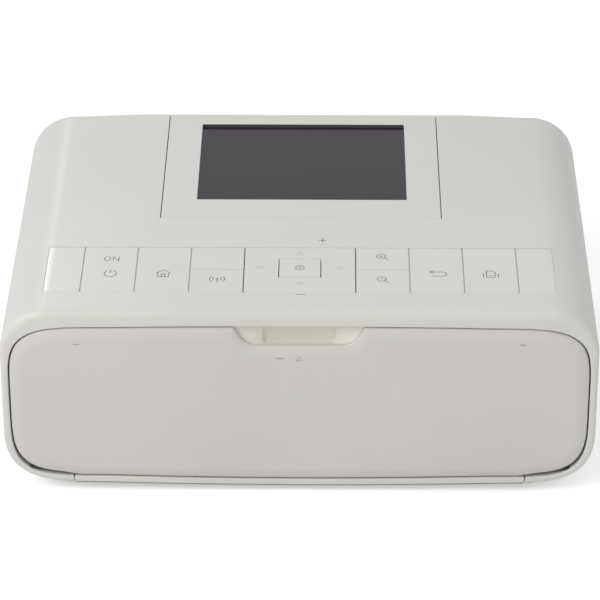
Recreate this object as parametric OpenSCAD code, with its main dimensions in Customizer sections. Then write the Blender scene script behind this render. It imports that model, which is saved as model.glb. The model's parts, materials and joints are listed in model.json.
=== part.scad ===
// Compact photo printer with a hinged front cover, a tilting display,
// a strip of keys, a side door for the ink cassette and its print mechanism.
// X runs to the right, Y to the back and Z up. The origin is on the table,
// under the middle of the body. All lengths are in millimetres.

/* [Body] */
// Width of the body
body_w = 180.6; // [176:0.1:200]
// Depth from the face of the front cover to the back edge
body_d = 135.9; // [134:0.1:150]
// Height of the top above the table
body_h = 63.3; // [62.5:0.1:75]
// Height of the feet, which lift the bottom cover off the table
foot_h = 1.7; // [1.2:0.1:2.2]
// Wall thickness of the casing
wall = 2.4; // [2:0.1:2.8]
// Radius of the upper long edges
top_r = 14.5; // [12:0.1:16]
// Radius of the lower long edges
low_r = 16.5; // [14:0.1:18]
// Rounding of the rim at the front
rim_round = 1.6; // [1:0.1:1.9]
// Rounding along the top front edge
brow_round = 2.8; // [2:0.1:3.4]
// Rounding of the back edge
back_round = 2; // [1:0.1:2.2]
// Depth of the front rim that surrounds the front cover
rim_d = 5.3; // [4.6:0.1:6]

/* [Front cover] */
// Distance that the cover's face stands in front of the rim
cover_proud = 0.65; // [0.5:0.05:0.8]
// Margin from the side of the body to the cover
cover_side = 2.6; // [2.4:0.1:3.2]
// Margin from the top of the body to the cover
cover_top = 5.4; // [5:0.1:6.5]
// Margin from the table to the cover
cover_low = 5.8; // [5.6:0.1:6.2]
// Thickness of the cover's face plate
cover_t = 2.2; // [2:0.1:2.6]
// Gap round the cover at its sides and top
cover_gap = 0.5; // [0.4:0.05:0.7]
// Gap under the cover, which its lower edge swings through
cover_low_gap = 0.9; // [0.85:0.05:1]
// Radius of the cover's upper corners
cover_top_r = 11.3; // [10:0.1:12]
// Radius of the cover's lower corners
cover_low_r = 13.6; // [13:0.1:14.5]
// Rounding of the cover's edge
cover_edge = 1.5; // [1.3:0.1:1.6]
// Width of the finger scoop at its mouth
scoop_w = 39.2; // [34:0.2:46]
// Depth of the scoop below the cover's upper edge
scoop_h = 5.7; // [5.4:0.1:7]
// Radius of the curves at the ends of the scoop
scoop_r = 3; // [2:0.1:3.2]
// Radius of the cover's hinge pins
cover_pin_r = 0.55; // [0.5:0.05:0.6]

/* [Display] */
// Width of the tilting display panel
panel_w = 88; // [84:0.2:94]
// Distance from the front edge of the panel's opening to the window
panel_lead = 12.84; // [11.5:0.02:14]
// Gap between the panel and its opening
panel_gap = 0.4; // [0.3:0.05:0.6]
// Thickness of the panel
panel_t = 5.4; // [5.2:0.1:6]
// Width of the display window
window_w = 66.8; // [60:0.2:70]
// Depth of the window, front to back
window_d = 52.81; // [46:0.01:54]
// Distance from the window to the back of the body
window_in = 9.9; // [9:0.1:14]
// Depth of the glass below the panel's face
glass_sink = 1.1; // [0.8:0.1:1.4]
// Radius of the panel's rounded front edge, round its hinge axis
barrel_r = 3.3; // [3.1:0.1:3.5]
// Depth of the panel's hinge axis below its face
barrel_z = 2.3; // [2.1:0.1:2.5]
// Radius of the panel's hinge pins
panel_pin_r = 0.9; // [0.7:0.05:1]

/* [Keys] */
// Distance from the front rim to the key strip
strip_in = 12.5; // [11.5:0.1:13.5]
// Depth of the key strip, front to back
strip_d = 27.9; // [26:0.1:29]
// Distance from the side of the body to the key strip
strip_side = 12.8; // [11.6:0.1:14]
// Width of each blank end of the key strip
end_w = 11.13; // [9:0.01:12]
// Gap between two keys
key_gap = 0.5; // [0.4:0.05:0.6]
// Depth of the key tops below the top of the body
key_sink = 0.1; // [0.05:0.05:0.5]
// Thickness of a key cap
key_t = 2; // [1.8:0.1:2.2]
// Travel of a key
key_travel = 0.4; // [0.3:0.05:0.5]
// Width of the middle key inside the direction pad
ok_w = 12.6; // [11:0.1:13]
// Depth of the middle key, front to back
ok_d = 11.1; // [10:0.1:12]

/* [Paper path] */
// Height of the paper as it passes the print head
paper_z = 25.5; // [25.3:0.05:25.7]
// Inner width between the two side plates
frame_w = 124; // [122:0.2:126]
// Thickness of the side plates
plate_t = 1.2; // [1:0.1:1.5]
// Width of the bay that takes the paper cassette
bay_w = 119; // [114:0.5:120]
// Height of the bay above the floor of the frame
bay_h = 27.2; // [25:0.1:27.5]
// Radius of the capstan roller and of its pinch roller
capstan_r = 3.6; // [3.3:0.1:3.8]
// Radius of the platen roller
platen_r = 6; // [5:0.1:6.5]
// Radius of the feed roller
feed_r = 7; // [6:0.1:7.4]
// Length of the paper rollers
roller_w = 104; // [98:0.5:106]
// Running clearance of a shaft in its bore
run_gap = 0.05; // [0.03:0.01:0.08]

/* [Ink cassette] */
// Height from the top of the cassette to the well of the display
head_room = 10; // [9.4:0.1:11]
// Wall thickness of the tubes
tube_wall = 1.4; // [1:0.1:1.6]
// Length of the cassette
cassette_w = 114; // [110:0.5:116]
// Space between the cassette's two tubes
tube_space = 15.9; // [15:0.1:17]
// Gap between the full ribbon roll and its tube
roll_gap = 0.7; // [0.5:0.1:1.5]
// Radius of the used ribbon roll
takeup_r = 4.6; // [4:0.1:6]
// Distance that the cassette springs out when it is let go
eject = 2.5; // [2:0.1:3]

/* [Gears] */
// Size of the gear teeth, as pitch diameter over number of teeth
tooth_m = 0.6; // [0.58:0.01:0.62]
// Play between meshing teeth, as a length on the pitch circle
backlash = 0.16; // [0.12:0.01:0.2]
// Thickness of a gear
gear_t = 2.5; // [2:0.1:2.6]

/* [Hidden] */
$fn = 64;

// Colours
shell_colour = [0.84, 0.83, 0.80];
key_colour = [0.87, 0.86, 0.84];
cover_colour = [0.80, 0.79, 0.77];
liner_colour = [0.78, 0.77, 0.74];
glass_colour = [0.32, 0.30, 0.31];
dark_colour = [0.20, 0.20, 0.21];
rubber_colour = [0.16, 0.16, 0.17];
steel_colour = [0.66, 0.67, 0.69];
board_colour = [0.10, 0.36, 0.24];
frame_colour = [0.30, 0.31, 0.33];
gear_colour = [0.92, 0.91, 0.87];
brass_colour = [0.78, 0.62, 0.32];
ribbon_colour = [0.55, 0.42, 0.20];

// Small sizes that many pieces share
eps = 0.01;
over = 1;
slip = 0.25;
big = 300;

// Outer planes of the body
half_w = body_w / 2;
y_face = -body_d / 2;
y_back = body_d / 2;
y_rim = y_face + cover_proud;
y_cavity = y_rim + rim_d;
z_top = body_h;
corner_lift = 0.7;
z_case = foot_h + corner_lift;
z_side = z_case + low_r;

// Bottom cover and its seams with the upper shell
seam_in = 21.2;
seam_half = half_w - seam_in;
seam_gap = 0.3;
base_t = 2;
strip_wall = 2.4;
z_strip = cover_low - cover_low_gap;
z_floor = z_case + wall;
floor_t = 2;
z_deck = z_floor + floor_t;

// Front cover
cover_half = half_w - cover_side;
z_cover = cover_low;
z_cover_top = z_top - cover_top;
rebate = 0.5;
rebate_d = 0.6;
cover_axis_in = 1.6;
cover_axis_up = 2.1;
y_cover_axis = y_face + cover_axis_in;
z_cover_axis = z_cover + cover_axis_up;
pin_reach = 3;
cover_arc = sqrt(pow(cover_low_r, 2) - pow(cover_low_r - (z_cover_axis - z_cover), 2));
x_pin_edge = cover_half - cover_low_r + cover_arc;
liner_t = 1.5;
liner_margin = 5;
y_liner = y_face + cover_t;
scoop_wall = 1.2;
scoop_depth = 6.1;
scoop_slope = 4.8;

// Display panel
window_back = y_back - window_in;
window_front = window_back - window_d;
panel_front = window_front - panel_lead;
panel_half = panel_w / 2;
hinge_in = 3;
y_hinge = panel_front + hinge_in;
z_hinge = z_top - barrel_z;
barrel_gap = 0.3;
z_panel = z_top - panel_t;
panel_back_in = 1;
y_panel_back = y_back - panel_back_in;
well_wall = 2;
well_floor = 1.5;
z_well = z_panel - panel_gap - well_floor;
glass_t = 1;
glass_lip = 2;
module_lip = 3;
back_t = 1;
panel_pin_in = 4;

// Keys, their board and their switches
strip_front = y_rim + strip_in;
strip_back = strip_front + strip_d;
strip_half = half_w - strip_side;
z_key_top = z_top - key_sink;
z_key = z_key_top - key_t;
split_shift = 0.3;
y_split = (strip_back + strip_front) / 2 + split_shift;
split_gap = 0.4;
pad_extra = 0.65;
side_keys = 4;
key_pitch = (strip_half - end_w - pad_extra) / side_keys;
bezel_t = 1.5;
bezel_margin = 3;
key_ledge = 1;
board_edge = 0.8;
boss_in = 6;
boss_out = 1;
key_boss_r = 2;
key_screw_r = 0.8;
z_bezel = z_top - wall - bezel_t;
stem = 3;
switch_size = 5;
switch_h = 1.4;
plunger_r = 1;
plunger_h = 0.3;
board_t = 1.6;
stem_l = 2.6;
key_play = 0.1;
z_stem = z_key - stem_l;
z_key_board = z_stem - key_travel - key_play - plunger_h - switch_h - board_t;
ok_shift = 1.2;
ok_y = (strip_back + strip_front) / 2 + ok_shift;
ok_slip = 0.3;

// Frame of the mechanism
plate_in = frame_w / 2;
plate_out = plate_in + plate_t;
plate_front_in = 4;
plate_back_in = 5.5;
y_plate = y_cavity + plate_front_in;
y_plate_back = y_back - plate_back_in;
bay_half = bay_w / 2;
y_bay_back = -19;
bay_wall = 2;
z_bay_top = z_deck + bay_h;
paper_slot = 3;
deck_half = half_w - low_r - slip;
guide_t = 1.6;
exit_in = 3;
exit_drop = 1;
guide_drop = 0.6;
rib_x = 40;
rib_t = 2;
rib_h = 2.8;
rib_in = 4;

// Roller axes
capstan_y = -10;
nip = 0.2;
capstan_z = paper_z - nip - capstan_r;
pinch_z = paper_z + nip + capstan_r;
platen_y = 26;
platen_z = paper_z - nip - platen_r;
y_exit = platen_y + platen_r + exit_in;
roller_half = roller_w / 2;
feed_half = roller_w / 4;
shaft_r = 2;
thin_shaft_r = 1.5;
bush_t = 1.2;
collar = 0.5;
collar_t = 1;
shaft_over = 1;
shaft_end = 0.4;

// Gear train, worked out from tooth counts
capstan_teeth = 42;
takeup_teeth = 36;
small_teeth = 18;
big_teeth = 50;
feed_teeth = 36;
pinion_teeth = 12;
play = 0.05;
pressure = 20;
tip_h = 0.85;
root_h = 1.1;
gear_step = 1.5;
face_gap = 0.8;
layer_gap = 0.5;
x_gear_in = -plate_out - face_gap;
x_gear_out = x_gear_in - gear_t - layer_gap;
reduction_y = -22;
cassette_lift = 1.5;
tube_r = (z_well - head_room - paper_z - cassette_lift) / 2;
supply_r = tube_r - tube_wall - roll_gap;
takeup_z = paper_z + cassette_lift + tube_r;

function pitch_r(n) = n * tooth_m / 2;
function spacing(a, b) = pitch_r(a) + pitch_r(b) + play;

reach_small = spacing(small_teeth, capstan_teeth);
reduction_z = capstan_z + sqrt(pow(reach_small, 2) - pow(reduction_y - capstan_y, 2));
reach_takeup = spacing(takeup_teeth, capstan_teeth);
takeup_y = capstan_y + sqrt(pow(reach_takeup, 2) - pow(takeup_z - capstan_z, 2));
reach_feed = spacing(small_teeth, feed_teeth);
feed_lift = 0.8;
feed_z = z_bay_top + bay_wall + shaft_r + bush_t + collar + feed_lift;
feed_y = reduction_y - sqrt(pow(reach_feed, 2) - pow(feed_z - reduction_z, 2));
reach_motor = spacing(big_teeth, pinion_teeth);
motor_drop = 16.55;
motor_z = z_bezel - motor_drop;
motor_y = reduction_y - sqrt(pow(reach_motor, 2) - pow(motor_z - reduction_z, 2));
supply_y = takeup_y + 2 * tube_r + tube_space;

// Ink cassette and its door
cassette_half = cassette_w / 2;
spool_core_r = 3;
journal_r = 2.2;
hub_r = 1.5;
hub_collar = 1.5;
hub_slip = 0.15;
hub_reach = 6;
hub_bore_l = 10;
film_t = 0.25;
film_z = paper_z + nip;
bar_t = 2.6;
bar_h = 6;
tube_slot = 4;
door_margin = 2.6;
y_door = takeup_y - tube_r - door_margin;
y_door_back = supply_y + tube_r + door_margin;
door_low = 2.4;
door_high = 2.2;
z_door = takeup_z - tube_r - door_low;
z_door_top = min(takeup_z + tube_r + door_high, z_top - top_r - slip);
door_gap = 0.3;
door_pin_r = 0.6;
door_pin_l = 3.4;
x_door_axis = half_w - wall / 2;
z_door_axis = z_door + door_gap + wall / 2;
door_rib_in = 4;
door_rib_t = 1;
nail_w = 16;
nail_h = 3;

// Print head on its arm
head_y = platen_y;
head_gap = 0.35;
head_t = 3;
head_d = 6;
sink_d = 9;
sink_side = 2;
sink_half = roller_half - sink_side;
arm_t = 1.6;
arm_lift = 2.6;
pivot_in = 5;
pivot_up = 1.4;
z_arm = takeup_z + tube_r + arm_lift;
pivot_y = y_plate_back - pivot_in;
pivot_z = z_arm + pivot_up;
plate_over = 3;
z_plate_top = pivot_z + plate_over;
arm_ear = 6;
arm_in = 4;
ear_wall = 1.4;
sink_web = 2;
fin_t = 2;
fin_gap = 3;

// Motor and its bracket
bracket_t = 1.2;
x_bracket = x_gear_out - gear_t - face_gap;
motor_r = 9.5;
motor_gap = 2.4;
motor_l = half_w - wall - motor_gap + x_bracket - bracket_t;
motor_shaft_r = 1;
shaft_flat = 0.2;
post_r = 2;
post_in = 3;

// Sockets
card_w = 25;
card_h = 3.5;
card_in = 11;
card_y = y_cavity + card_in;
card_z = 30;
socket_t = 1.2;
usb_w = 13.2;
usb_h = 5.6;
usb_in = 6;
usb_y = y_cavity + usb_in;
usb_z = 14;
usb_tongue = 1;
x_usb_out = half_w - low_r - slip
    + sqrt(pow(low_r - wall, 2) - pow(z_side - usb_z + socket_t, 2));
socket_back = 2;
inlet_size = 10;
inlet_x = plate_out + slip + inlet_size / 2;
inlet_r = 2.75;
inlet_pin_r = 0.8;
inlet_depth = 9;
inlet_back = 3;
inlet_flare = 1.5;

// Rear panel
rear_t = 2;
rear_in = 3.6;
y_rear = y_back - rear_in;
slot_side = 3;
slot_half = roller_half + slot_side;
slot_low = 2.8;
slot_high = 3.2;
vent_w = 2;
vent_pitch = 4;
vent_l = 14;
vent_count = 9;
side_vent_y = 20;
side_vent_z = 4;
rear_vent_x = 34;
rear_vent_z = 10;

// Feet and screws
foot_r = 4.5;
screw_side = 5.1;
screw_x = seam_half - screw_side;
screw_end = 13.95;
screw_ys = [y_face + screw_end, 0, y_back - screw_end];
foot_side = 8;
foot_x = screw_x - foot_side;
foot_end = 17.95;
foot_y = y_back - foot_end;
screw_r = 1.2;
screw_head_r = 2.5;
screw_head_t = 1.2;
screw_in = 0.2;
screw_short = 0.4;
boss_r = 3.2;

// Main board
board_side = 8;
board_x = plate_in - board_side;
board_front = -4;
board_end = 6.35;
board_back = y_rear - board_end;
stand_h = 2;
stand_r = 2.5;
stand_in = 4;
z_board = z_deck + stand_h;
chip_t = 1.4;

// Flat outline from the centre line outwards, rounded at its front and back ends
module edge_profile(reach, depth, front, back) {
    translate([0, front]) square([reach, depth - front - back]);
    if (front > 0) {
        square([reach - front, front]);
        translate([reach - front, front]) intersection() {
            circle(front);
            translate([0, -front]) square(front);
        }
    }
    if (back > 0) {
        translate([0, depth - back]) square([reach - back, back]);
        translate([reach - back, depth - back]) intersection() {
            circle(back);
            square(back);
        }
    }
}

// Quarter of a rounded disc whose axis runs along Y; turn picks the quarter
module quarter_disc(r, depth, front, back, turn) {
    rotate([-90, 0, 0]) rotate([0, 0, turn]) rotate_extrude(angle = 90)
        edge_profile(r, depth, front, back);
}

// Block with four rounded long edges along Y and rounded front and back rims
module rounded_block(half, z0, z1, r0, r1, y0, y1, front = 0, back = 0) {
    depth = y1 - y0;
    translate([0, y0, z0 + r0]) linear_extrude(z1 - r1 - z0 - r0) {
        edge_profile(half, depth, front, back);
        mirror([1, 0]) edge_profile(half, depth, front, back);
    }
    translate([half - r1, y0, z1 - r1]) rotate([0, -90, 0])
        linear_extrude(2 * (half - r1)) edge_profile(r1, depth, front, back);
    translate([r0 - half, y0, z0 + r0]) rotate([0, 90, 0])
        linear_extrude(2 * (half - r0)) edge_profile(r0, depth, front, back);
    for (side = [0, 1]) mirror([side, 0, 0]) {
        translate([half - r1, y0, z1 - r1]) quarter_disc(r1, depth, front, back, -90);
        translate([half - r0, y0, z0 + r0]) quarter_disc(r0, depth, front, back, 0);
    }
}

// Box between two corners
module box(a, b) {
    translate(a) cube([b[0] - a[0], b[1] - a[1], b[2] - a[2]]);
}

// Round bar along X between two places
module bar_x(r, x0, x1, y, z) {
    translate([x0, y, z]) rotate([0, 90, 0]) cylinder(r = r, h = x1 - x0);
}

// Round bar along Y between two places
module bar_y(r, y0, y1, x, z) {
    translate([x, y0, z]) rotate([-90, 0, 0]) cylinder(r = r, h = y1 - y0);
}

// Round bar along Z between two places
module bar_z(r, z0, z1, x, y) {
    translate([x, y, z0]) cylinder(r = r, h = z1 - z0);
}

// Both sides of something drawn on the right
module pair() {
    children();
    mirror([1, 0, 0]) children();
}

// Casing

module casing(z0) {
    rounded_block(half_w, z0, z_top, low_r, top_r, y_rim, y_back, rim_round, back_round);
}

module brow_cutter() {
    translate([-half_w - over, y_rim - over, z_top - brow_round]) difference() {
        cube([body_w + 2 * over, brow_round + over, brow_round + over]);
        translate([-over, brow_round + over, 0]) rotate([0, 90, 0])
            cylinder(r = brow_round, h = body_w + 4 * over);
    }
}

module cavity() {
    rounded_block(half_w - wall, z_floor, z_top - wall, low_r - wall, top_r - wall,
        y_cavity, y_back + over);
}

// Opening that follows the front cover's outline with a gap
module cover_opening(extra, y0, y1) {
    rounded_block(cover_half + cover_gap + extra, z_cover - cover_low_gap - extra,
        z_cover_top + cover_gap + extra, cover_low_r + cover_gap + extra,
        cover_top_r + cover_gap + extra, y0, y1);
}

module well_outer() {
    outer = panel_half + panel_gap + well_wall;
    box([-outer, y_hinge - barrel_r - barrel_gap - well_wall, z_well],
        [outer, y_rear - slip, z_top - wall + eps]);
}

module well_inner() {
    inner = panel_half + panel_gap;
    box([-inner, y_hinge, z_well + well_floor], [inner, y_back + over, z_top + over]);
    bar_x(barrel_r + barrel_gap, -inner, inner, y_hinge, z_hinge);
    box([-inner, panel_front, z_hinge], [inner, y_hinge + eps, z_top + over]);
}

module upper_shell() color(shell_colour) difference() {
    union() {
        difference() {
            casing(z_case);
            brow_cutter();
            cavity();
        }
        well_outer();
    }
    cover_opening(0, y_rim - over, y_cavity + eps);
    cover_opening(rebate, y_rim - over, y_rim + rebate_d);
    box([-seam_half, y_rim - over, 0],
        [seam_half, y_back + over, max(z_floor, z_strip) + eps]);
    well_inner();
    pair() bar_x(panel_pin_r, panel_half, panel_half + panel_gap + well_wall + eps,
        y_hinge, z_hinge);
    box([-strip_half - slip, strip_front - slip, z_bezel - over],
        [strip_half + slip, strip_back + slip, z_top + over]);
    pair() bar_x(cover_pin_r, x_pin_edge, x_pin_edge + cover_gap + pin_reach,
        y_cover_axis, z_cover_axis);
    box([half_w - wall - over, y_door, z_door], [half_w + over, y_door_back, z_door_top]);
    bar_y(door_pin_r, y_door - door_pin_l, y_door_back + door_pin_l, x_door_axis,
        z_door_axis);
    box([half_w - wall - over, card_y, card_z],
        [half_w + over, card_y + card_w, card_z + card_h]);
    box([-half_w - over, usb_y, usb_z], [wall + over - half_w, usb_y + usb_w, usb_z + usb_h]);
    for (i = [0 : vent_count - 1])
        box([-half_w - over, side_vent_y + i * vent_pitch, paper_z + side_vent_z],
            [wall + over - half_w, side_vent_y + vent_w + i * vent_pitch,
            paper_z + side_vent_z + vent_l]);
}

module bottom_cover() color(shell_colour) difference() {
    inner = seam_half - seam_gap;
    intersection() {
        rounded_block(half_w, foot_h, z_top, low_r, top_r, y_rim, y_back, rim_round,
            back_round);
        box([-inner, y_rim - over, 0], [inner, y_back + over, z_strip]);
    }
    box([-inner - over, y_rim + strip_wall, foot_h + base_t],
        [inner + over, y_back - strip_wall, z_strip + over]);
    pair() for (y = screw_ys) {
        bar_z(screw_r, 0, z_floor, screw_x, y);
        bar_z(screw_head_r, 0, foot_h + screw_head_t, screw_x, y);
    }
}

module rear_outline(y0, y1) {
    inset = wall + slip;
    rounded_block(half_w - inset, z_floor + slip, z_top - inset, low_r - inset,
        top_r - inset, y0, y1);
}

module rear_panel() color(shell_colour) difference() {
    outer = panel_half + panel_gap + slip;
    rear_outline(y_rear, y_rear + rear_t);
    box([-outer, y_rear - over, z_panel - panel_gap], [outer, y_back + over, z_top]);
    box([-slot_half, y_rear - over, paper_z - slot_low],
        [slot_half, y_back + over, paper_z + slot_high]);
    bar_y(inlet_r + inlet_flare, y_rear - over, y_back + over, inlet_x,
        z_deck + inlet_size / 2);
    for (i = [0 : vent_count - 1]) pair()
        box([rear_vent_x + i * vent_pitch, y_rear - over, paper_z + rear_vent_z],
            [rear_vent_x + vent_w + i * vent_pitch, y_back + over,
            paper_z + rear_vent_z + vent_l]);
}

module feet() color(rubber_colour) {
    for (y = [-foot_y, foot_y]) pair() bar_z(foot_r, 0, foot_h, foot_x, y);
}

module base_screws() color(steel_colour) {
    pair() for (y = screw_ys) {
        bar_z(screw_head_r - screw_in, foot_h + screw_in, foot_h + screw_head_t, screw_x, y);
        bar_z(screw_r, foot_h + screw_head_t - eps, z_deck - screw_short, screw_x, y);
    }
}

// Frame inside

module bay_roof_slot() {
    box([-feed_half - over, feed_y - feed_r - over, z_bay_top - over],
        [feed_half + over, feed_y + feed_r + over, z_bay_top + bay_wall + over]);
}

module chassis() color(frame_colour) difference() {
    union() {
        box([-deck_half, y_cavity + slip, z_floor], [deck_half, y_rear - slip, z_deck]);
        pair() for (y = screw_ys) bar_z(boss_r, foot_h + base_t, z_floor + eps, screw_x, y);
        pair() box([bay_half, y_cavity + slip, z_deck - eps],
            [plate_in, y_bay_back, z_bay_top + bay_wall]);
        box([-plate_in, y_cavity + slip, z_bay_top], [plate_in, y_bay_back, z_bay_top + bay_wall]);
        box([-plate_in, y_bay_back - bay_wall, z_deck - eps],
            [plate_in, y_bay_back, z_bay_top + eps]);
        pair() box([bay_half, y_exit, z_deck - eps],
            [plate_in, y_rear - slip, paper_z - exit_drop]);
        box([-plate_in, y_exit, paper_z - exit_drop - guide_t],
            [plate_in, y_rear - slip, paper_z - exit_drop]);
        pair() for (y = [board_front + stand_in, board_back - stand_in])
            bar_z(stand_r, z_deck - eps, z_board, board_x - stand_in, y);
    }
    pair() for (y = screw_ys) bar_z(screw_r, 0, z_deck - screw_short, screw_x, y);
    bay_roof_slot();
    box([-roller_half - over, y_bay_back - bay_wall - over, paper_z - paper_slot],
        [roller_half + over, y_bay_back + over, paper_z + paper_slot]);
}

// Bore places that both side plates share, as radius, Y and Z
shaft_holes = [
    [shaft_r + bush_t, capstan_y, capstan_z],
    [thin_shaft_r + bush_t, capstan_y, pinch_z],
    [shaft_r + bush_t, platen_y, platen_z],
    [shaft_r + bush_t, feed_y, feed_z]
];

module side_plate_blank() {
    difference() {
        box([plate_in, y_plate, z_deck], [plate_out, y_plate_back, z_plate_top]);
        for (h = shaft_holes) bar_x(h[0], plate_in - over, plate_out + over, h[1], h[2]);
        bar_x(thin_shaft_r, plate_in - over, plate_out + over, pivot_y, pivot_z);
    }
}

module left_side_plate() color(steel_colour) difference() {
    mirror([1, 0, 0]) side_plate_blank();
    bar_x(hub_r + hub_collar, -plate_out - over, over - plate_in, takeup_y, takeup_z);
    bar_x(thin_shaft_r, -plate_out - over, over - plate_in, reduction_y, reduction_z);
}

module right_side_plate() color(steel_colour) difference() {
    side_plate_blank();
    box([plate_in - over, takeup_y - tube_r - over, takeup_z - tube_r - over],
        [plate_out + over, supply_y + tube_r + over, takeup_z + tube_r + over]);
}

// Ring that carries a shaft in a side plate
module bush(r, y, z) {
    difference() {
        union() {
            bar_x(r, plate_in, plate_out, y, z);
            bar_x(r + collar, plate_in - collar_t, plate_in, y, z);
        }
        bar_x(r - bush_t + run_gap, plate_in - 2 * collar_t, plate_out + over, y, z);
    }
}

module shaft_bushes() color(brass_colour) {
    pair() for (h = shaft_holes) bush(h[0], h[1], h[2]);
}

module paper_guide() color(dark_colour) {
    z_guide = paper_z - guide_drop - guide_t;
    box([-plate_in, capstan_y + capstan_r + over, z_guide],
        [plate_in, platen_y - platen_r - over, z_guide + guide_t]);
    for (x = [-rib_x, 0, rib_x])
        box([x - rib_t / 2, capstan_y + capstan_r + rib_in, z_guide - rib_h],
            [x + rib_t / 2, platen_y - platen_r - rib_in, z_guide + eps]);
}

// Front cover

// Outline of the finger scoop, wide at the cover's edge and narrow at its floor
module scoop_outline(extra) {
    floor_half = scoop_w / 2 - scoop_slope;
    polygon([[-scoop_w / 2 - extra, over], [scoop_w / 2 + extra, over],
        [scoop_w / 2 + extra, 0], [floor_half + scoop_r / 2 + extra, scoop_r / 2 - scoop_h],
        [floor_half + extra, -scoop_h - extra], [-floor_half - extra, -scoop_h - extra],
        [-floor_half - scoop_r / 2 - extra, scoop_r / 2 - scoop_h],
        [-scoop_w / 2 - extra, 0]]);
}

module scoop_solid(extra, y0, y1) {
    translate([0, y1, z_cover_top]) rotate([90, 0, 0])
        linear_extrude(y1 - y0) scoop_outline(extra);
}

module front_cover() color(cover_colour) difference() {
    rounded_block(cover_half, z_cover, z_cover_top, cover_low_r, cover_top_r, y_face,
        y_face + cover_t, cover_edge, 0);
    scoop_solid(0, y_face - over, y_face + cover_t + over);
    pair() bar_x(cover_pin_r + run_gap, x_pin_edge - 2 * pin_reach, x_pin_edge + over,
        y_cover_axis, z_cover_axis);
}

module cover_liner() color(liner_colour) difference() {
    union() {
        rounded_block(cover_half - liner_margin, z_cover + liner_margin,
            z_cover_top - liner_margin, cover_low_r - liner_margin,
            cover_top_r - liner_margin, y_liner, y_liner + liner_t);
        difference() {
            scoop_solid(scoop_wall, y_liner, y_face + scoop_depth);
            box([-scoop_w, y_liner - over, z_cover_top], [scoop_w, y_liner + scoop_depth, z_top]);
        }
    }
    scoop_solid(0, y_liner - over, y_face + scoop_depth - scoop_wall);
}

module cover_pins() color(steel_colour) {
    pair() bar_x(cover_pin_r, x_pin_edge - 2 * pin_reach + slip,
        x_pin_edge + cover_gap + pin_reach, y_cover_axis, z_cover_axis);
}

// Display panel

module panel_blank() {
    intersection() {
        union() {
            bar_x(barrel_r, -panel_half, panel_half, y_hinge, z_hinge);
            box([-panel_half, y_hinge, z_panel], [panel_half, y_panel_back, z_top]);
        }
        box([-panel_half, y_face, z_panel], [panel_half, y_back, z_top]);
        union() {
            bar_x(brow_round, -panel_half, panel_half, y_panel_back - brow_round,
                z_top - brow_round);
            box([-panel_half, y_face, z_panel], [panel_half, y_back, z_top - brow_round]);
            box([-panel_half, y_face, z_panel],
                [panel_half, y_panel_back - brow_round, z_top]);
        }
    }
}

module display_frame() color(shell_colour) difference() {
    panel_blank();
    box([-window_w / 2, window_front, z_panel - over],
        [window_w / 2, window_back, z_top + over]);
    box([-window_w / 2 - glass_lip, window_front - glass_lip, z_panel - over],
        [window_w / 2 + glass_lip, window_back + glass_lip, z_top - glass_sink]);
    box([-window_w / 2 - module_lip, window_front - module_lip, z_panel - over],
        [window_w / 2 + module_lip, window_back + module_lip,
        z_top - glass_sink - glass_t]);
    pair() bar_x(panel_pin_r + run_gap, panel_half - panel_pin_in, panel_half + over,
        y_hinge, z_hinge);
}

module display_glass() color(glass_colour)
    box([-window_w / 2 - glass_lip, window_front - glass_lip,
        z_top - glass_sink - glass_t],
        [window_w / 2 + glass_lip, window_back + glass_lip, z_top - glass_sink]);

module display_module() color(dark_colour)
    box([-window_w / 2 - module_lip, window_front - module_lip, z_panel + back_t],
        [window_w / 2 + module_lip, window_back + module_lip,
        z_top - glass_sink - glass_t]);

module display_back() color(liner_colour)
    box([-window_w / 2 - module_lip, window_front - module_lip, z_panel],
        [window_w / 2 + module_lip, window_back + module_lip, z_panel + back_t]);

module display_pins() color(steel_colour) {
    pair() bar_x(panel_pin_r, panel_half - panel_pin_in + slip,
        panel_half + panel_gap + well_wall, y_hinge, z_hinge);
}

// Keys

// Left edge of a column, counted from the middle of the strip
function column(i) = i * key_pitch + (i > 0 ? pad_extra : -pad_extra);

// A cap with one or more stems under it
module key_cap(x0, x1, y0, y1, stems) {
    box([x0 + key_gap / 2, y0, z_key], [x1 - key_gap / 2, y1, z_key_top]);
    for (s = stems)
        box([s[0] - stem / 2, s[1] - stem / 2, z_stem], [s[0] + stem / 2, s[1] + stem / 2,
            z_key + eps]);
}

function middle(a, b) = (a + b) / 2;
y_middle = middle(strip_front, strip_back);
x_left = [for (i = [-side_keys : -1]) column(i)];
x_right = [for (i = [1 : side_keys]) column(i)];
stem_power = [middle(x_left[0], x_left[1]), y_middle];
stem_home = [middle(x_left[1], x_left[2]), y_middle];
stem_menu = [middle(x_left[2], x_left[3]), middle(y_split, strip_back)];
stem_wireless = [middle(x_left[2], x_left[3]), middle(y_split, strip_front)];
stem_zoom_in = [middle(x_right[0], x_right[1]), middle(y_split, strip_back)];
stem_zoom_out = [middle(x_right[0], x_right[1]), middle(y_split, strip_front)];
stem_back = [middle(x_right[1], x_right[2]), y_middle];
stem_print = [middle(x_right[2], x_right[3]), y_middle];
stem_ok = [0, ok_y];
pad_reach = middle(x_right[0], ok_w / 2);
pad_stems = [[-pad_reach, ok_y], [pad_reach, ok_y]];
all_stems = concat([stem_power, stem_home, stem_menu, stem_wireless, stem_zoom_in,
    stem_zoom_out, stem_back, stem_print, stem_ok], pad_stems);

module power_key() color(key_colour)
    key_cap(x_left[0], x_left[1], strip_front, strip_back, [stem_power]);

module home_key() color(key_colour)
    key_cap(x_left[1], x_left[2], strip_front, strip_back, [stem_home]);

module menu_key() color(key_colour)
    key_cap(x_left[2], x_left[3], y_split + split_gap / 2, strip_back, [stem_menu]);

module wireless_key() color(key_colour)
    key_cap(x_left[2], x_left[3], strip_front, y_split - split_gap / 2, [stem_wireless]);

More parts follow.
